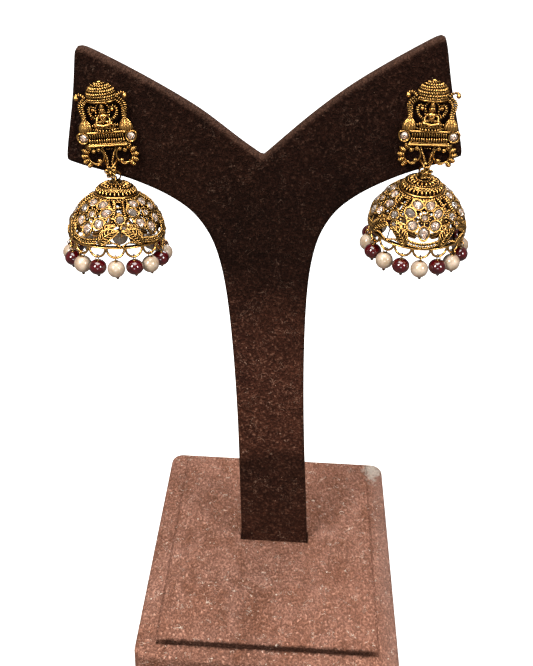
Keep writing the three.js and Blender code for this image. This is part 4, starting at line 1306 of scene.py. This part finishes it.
def seam(gold, stones):
    """What stands between two rosettes: ribs of grains, a bright stone, and leaves over the rim."""
    top = (ROSETTE["phi"] - DOME["top"] - 1.5) / PHI_PER_MM
    foot = (ROSETTE["phi"] - 56.0) / PHI_PER_MM
    for side in (-1, 1):
        rib = spline(on_side(side, [(0.92, top, 0.35), (0.96, 0.55 * top, 0.4), (1.05, 0.18 * top, 0.4),
                                    (1.35, foot - 0.55, 0.35)]), 6)
        grains(gold, rib, (0.24, 0.5, 0.4), 0.52, 20 * side, core=0.3)
        inner = spline(on_side(side, [(0.5, top, 0.2), (0.55, foot, 0.2)]), 5)
        wire(gold, inner, 0.11, 5, finish=DARK)
    for phi, thick in ((33.5, 0.17), (43, 0.2), (52.5, 0.22)):
        up = (ROSETTE["phi"] - phi) / PHI_PER_MM
        wire(gold, [(-0.7, up, 0.3), (0, up, 0.36), (0.7, up, 0.3)], thick, 7)
        ball(gold, move(0, up, 0.4), thick + 0.06, 8, 5)
    bright = (ROSETTE["phi"] - BRIGHT_PHI) / PHI_PER_MM
    set_stone(gold, stones, 0, bright, 0.8, prongs=8, lift=0.12)
    for side in (-1, 1):
        spike = spline(on_side(side, [
            (1.0, bright + 0.1, 0.35), (1.75, bright + 0.35, 0.35), (2.35, bright + 0.2, 0.25)]), 4)
        wire(gold, spike, np.linspace(0.28, 0.05, len(spike)), 6)
        granules(gold, on_side(side, [
            (1.25, bright - 0.95, 0.35), (1.75, bright - 0.45, 0.3), (0.55, bright - 1.35, 0.35),
            (2.2, bright - 1.4, 0.3)]), 0.24)
        leaf(gold, (side * 4.7, -6.6), (side * 0.35, -3.35), 2.4, -side * 0.85, 7, 0.5)
        leaf(gold, (side * 4.2, -4.9), (side * 0.9, -2.1), 1.6, -side * 0.7, 5, 0.24)
        for reach in (1.9, 2.6, 3.3):
            bar = on_side(side, [(reach, bright + 0.6, 0.0), (reach + 0.5, bright - 1.4, 0.05),
                                 (reach + 0.2, bright - 2.9, 0.0)])
            wire(gold, spline(bar, 4), 0.17, 5, finish=DARK)
        stalk = spline(on_side(side, [
            (0.2, -6.9, 0.3), (1.2, -6.2, 0.45), (2.4, -5.9, 0.45), (3.9, -6.7, 0.3)]), 5)
        grains(gold, stalk, (0.18, 0.3, 0.26), 0.4, core=0.18)
    set_stone(gold, stones, 0.75, -2.75, 0.42, tip=0.5, aim=90, prongs=3, lift=0.1)


def swag(gold):
    """Two ropes hung across the panel under its rosette, with a row of grains between them."""
    def hung(shift, lift):
        return spline([(x, z + shift, lift) for x, z in (
            (-6.3, -3.35), (-4.2, -4.95), (-2.0, -5.7), (0, -5.95), (2.0, -5.7), (4.2, -4.95),
            (6.3, -3.35))], 8)

    grains(gold, hung(0.1, 0.42), (0.17, 0.27, 0.27), 0.36, 30, core=0.18)
    grains(gold, hung(-0.85, 0.42), (0.17, 0.27, 0.27), 0.36, -30, core=0.18)
    wire(gold, hung(-0.38, 0.2), 0.2, 5, finish=DARK)
    granules(gold, evenly(hung(-0.38, 0.42), 0.62), 0.21)
    for side in (-1, 1):
        for shift in (0.55, 0.95):
            curl = spline(on_side(side, [
                (0.4, -5.0 + shift, 0.3), (1.7, -4.75 + shift, 0.35), (3.0, -4.3 + shift, 0.35),
                (4.1, -3.6 + shift, 0.3)]), 5)
            wire(gold, curl, 0.15, 5, finish=DARK)


def bell_cap(work):
    """Two tiers over the dome: radiating petals, then a row of arches over upright ribs."""
    outside = [(5.5, -3.72), (5.0, -3.3), (4.4, -2.95), (3.6, -1.8), (3.35, -1.4), (2.95, -1.2),
               (2.2, -1.02), (1.4, -0.9), (1.15, -0.75), (0.4, -0.7)]
    lathe(work, outside, 64, finish=INSIDE)
    lathe(work, [(0.6, -1.9), (3.0, -2.9), (5.6, -4.0)][::-1], 48, stretch(-1, 1, 1), DARK)
    for radius, height, thick in ((4.66, -3.04, 0.24), (3.46, -1.55, 0.16), (1.32, -0.82, 0.16)):
        wire(work, circle(radius, 72, height), thick, 7, True)
    grains(work, circle(5.12, 72, -3.42), (0.22, 0.24, 0.24), 0.62, closed=True)
    grains(work, circle(3.24, 60, -1.2), (0.18, 0.2, 0.18), 0.5, closed=True)
    petals, arches = 18, 30
    for i in range(petals):
        spin = turn(i * 360 / petals, "Z")
        ball(work, spin @ move(2.45, 0, -0.92) @ turn(7, "Y") @ stretch(0.66, 0.25, 0.3), 1, 10, 6)
        ball(work, spin @ move(1.62, 0, -0.78) @ stretch(0.22, 0.2, 0.2), 1, 7, 5)
    slope = turn(54, "Y") @ turn(90, "Z")
    arch = spline([(-0.42, 0.3, 0.22), (-0.2, 0.66, 0.24), (0, 0.78, 0.25), (0.2, 0.66, 0.24),
                   (0.42, 0.3, 0.22)], 3)
    for i in range(arches):
        place = turn(i * 360 / arches, "Z") @ move(4.15, 0, -2.28) @ slope
        ball(work, place @ move(0, -0.05, 0.2) @ stretch(0.21, 0.62, 0.26), 1, 8, 6)
        wire(work, placed(arch, place), 0.12, 5)
    ball(work, move(0, 0, -0.62) @ stretch(0.8, 0.8, 0.3), 1, 14, 6)
    ring = placed(circle(EYE["radius"], 22), move(0, 0, CAP_TO_EYE - EYE["radius"]) @ turn(90, "Y"))
    wire(work, ring, EYE["bell_strand"], 8, True)


def rim_and_scallops(work, first_bead):
    r, z = dome_point(DOME["rim"], 0.0)
    wire(work, circle(r + 0.12, 128, z - 0.05), 0.24, 8, True)
    wire(work, circle(r - 0.3, 96, z + 0.15), 0.26, 6, True, DARK)
    rope(work, circle(r + 0.2, 128, z + 0.55), 0.12, 0.55, DARK)
    half = 180 / SCALLOPS
    for i in range(SCALLOPS):
        azimuth = math.radians(first_bead + i * 2 * half)
        angle = np.linspace(0, math.pi, 15)
        spread = azimuth + np.radians(half * 0.93) * np.cos(angle)
        fall = z - 0.1 - SCALLOP_DROP * np.sin(angle) ** 0.9
        line = np.stack([(r - 0.1) * np.sin(spread), -(r - 0.1) * np.cos(spread), fall], -1)
        wire(work, line, 0.27 + 0.05 * np.sin(angle), 8)
        granules(work, [((r + 0.05) * math.sin(azimuth + math.radians(half)),
                         -(r + 0.05) * math.cos(azimuth + math.radians(half)), z - 0.32)], 0.3)


def make_bell(side, earring):
    place = bell_place(earring)
    sheet, gold, stones = Work(place), Work(place), Work(place)
    bell_cap(gold)
    for panel in range(PANELS):
        middle = earring["panel_turn"] + (panel + 0.5) * 360 / PANELS
        pierced_sheet(sheet, middle)
        gold.bend = stones.bend = onto_panel(middle)
        rosette(gold, stones)
        swag(gold)
        gold.bend = stones.bend = onto_panel(middle - 180 / PANELS)
        seam(gold, stones)
        gold.bend = stones.bend = None
    rim_and_scallops(gold, earring["first_bead"])
    body = f"bell_body_{side}"
    make_piece(f"pierced_dome_{side}", sheet, METALS, body, [f"bell_{side}"])
    make_piece(f"bell_filigree_{side}", gold, METALS, body, [f"bell_{side}"])
    make_piece(f"bell_stones_{side}", stones, [CLEAR_STONE], body)


def make_bead(side, earring, index):
    """A bead on its pin: a round body, an eye and a wound neck above it, a pin head below."""
    is_pearl = index % 2 == 0
    shape = PEARL if is_pearl else RED_BEAD
    azimuth = earring["first_bead"] + index * 360 / SCALLOPS
    hung = around(azimuth, DOME["rim"], -0.1) - (0, 0, SCALLOP_DROP)
    x, y, z = placed([hung], bell_place(earring))[0]
    work = Work(move(x, y, z - BEAD_HANG) @ turn(azimuth, "Z"))
    centre = -BEAD_EYE["below"] - BEAD_SHARE_BELOW * shape["height"]
    wide, high = shape["radius"] - 0.02, shape["height"] - 0.02
    top, low = centre + high, centre - high
    steps = np.linspace(-0.5, 0.5, 21)[1:-1] * math.pi
    profile = [(wide * math.cos(a), centre + high * math.sin(a)) for a in steps]
    lathe(work, [(0.25, low + 0.06), *profile, (0.25, top - 0.1)], 36)
    eye = placed(circle(BEAD_EYE["radius"], 22), turn(90, "Y"))
    wire(work, eye, BEAD_EYE["wire"], 7, True, PIN)
    coil = [polar(0.26, t, top - 0.12 + 0.055 * t) for t in np.linspace(0, 0.99 * TURN, 30)]
    wire(work, coil, 0.11, 5, finish=PIN)
    wire(work, circle(0.42, 14, top - 0.1), 0.12, 5, True, PIN)
    wire(work, circle(0.26, 12, low + 0.08), 0.1, 5, True, PIN)
    ball(work, move(0.25, -0.2, low - 0.12), 0.4, 10, 6, PIN_HEAD)
    kind, slot = ("pearl", "pearl") if is_pearl else ("red_bead", "red_glass")
    number = index // 2 + 1
    make_piece(f"{kind}_drop_{side}_{number}", work, [NACRE if is_pearl else RUBY, *PIN_METALS],
               f"bell_body_{side}", [f"{kind}_{side}_{number}"])


# Floor, light and camera

def make_floor():
    mesh = bpy.data.meshes.new("pale_floor")
    reach = 4.0
    mesh.from_pydata([(-reach, -reach, 0), (reach, -reach, 0), (reach, reach, 0), (-reach, reach, 0)],
                     [], [(0, 1, 2, 3)])
    mesh.materials.append(floor_material())
    floor = show("pale_floor", mesh)
    floor.visible_glossy = False
    floor.visible_diffuse = False


LIGHTS_AIM = (0, 0, 0.11)
SOFTBOXES = {
    "window_left": {"place": (-0.42, -0.50, 0.62), "size": (0.20, 0.30), "watts": 6.2,
                    "colour": (1.0, 0.97, 0.93)},
    "window_right": {"place": (0.50, -0.42, 0.50), "size": (0.14, 0.24), "watts": 3.2,
                     "colour": (1.0, 0.98, 0.96)},
    "overhead": {"place": (-0.05, -0.06, 0.88), "size": (0.6, 0.5), "watts": 7.0,
                 "colour": (1, 1, 1)},
    "rear": {"place": (0.12, 0.6, 0.5), "size": (0.4, 0.3), "watts": 2.5, "colour": (1, 1, 1)},
    "low_front": {"place": (0.05, -0.8, 0.2), "size": (0.25, 0.10), "watts": 0.9,
                  "colour": (1, 1, 1)},
}


def softbox(name, place, size, watts, colour):
    data = bpy.data.lights.new(name, "AREA")
    data.shape = "RECTANGLE"
    data.size, data.size_y = size
    data.energy = watts
    data.color = colour
    light = show(name, data)
    light.location = place
    light.rotation_mode = "QUATERNION"
    light.rotation_quaternion = (Vector(LIGHTS_AIM) - Vector(place)).to_track_quat("-Z", "Y")


def light_the_set():
    world = bpy.data.worlds.new("studio")
    world.use_nodes = True
    background = world.node_tree.nodes["Background"]
    background.inputs["Color"].default_value = (1.0, 0.96, 0.92, 1)
    background.inputs["Strength"].default_value = 0.2
    bpy.context.scene.world = world
    bpy.context.scene.view_settings.view_transform = "Standard"
    for name, values in SOFTBOXES.items():
        softbox(name, **values)


# The camera's place is in millimetres; its axes are as seen in the picture
CAMERA = {
    "place": (0.330, -196.869, 205.593),
    "right": (0.99842, 0.043905, 0.03507),
    "down": (0.052774, -0.518289, -0.853576),
    "forward": (-0.01930, 0.854078, -0.519787),
    "focal_pixels": 950.0,
}
PICTURE_HEIGHT = 666
SENSOR = 36.0


def make_camera():
    data = bpy.data.cameras.new("camera")
    data.sensor_width = SENSOR
    data.lens = SENSOR * CAMERA["focal_pixels"] / PICTURE_HEIGHT
    data.clip_start, data.clip_end = 0.01, 20.0
    camera = show("camera", data)
    right, down, forward = (Vector(CAMERA[k]) for k in ("right", "down", "forward"))
    axes = Matrix((right, -down, -forward)).transposed().to_4x4()
    camera.matrix_world = Matrix.Translation(Vector(CAMERA["place"]) * MM) @ axes
    bpy.context.scene.camera = camera


make_camera()
light_the_set()
make_floor()
make_base()
make_board()
for side_name, sizes in EARRINGS.items():
    make_stud(side_name, sizes)
    make_nut(side_name, sizes)
    make_jump_ring(side_name, sizes)
    make_bell(side_name, sizes)
    for bead_index in range(SCALLOPS):
        make_bead(side_name, sizes, bead_index)
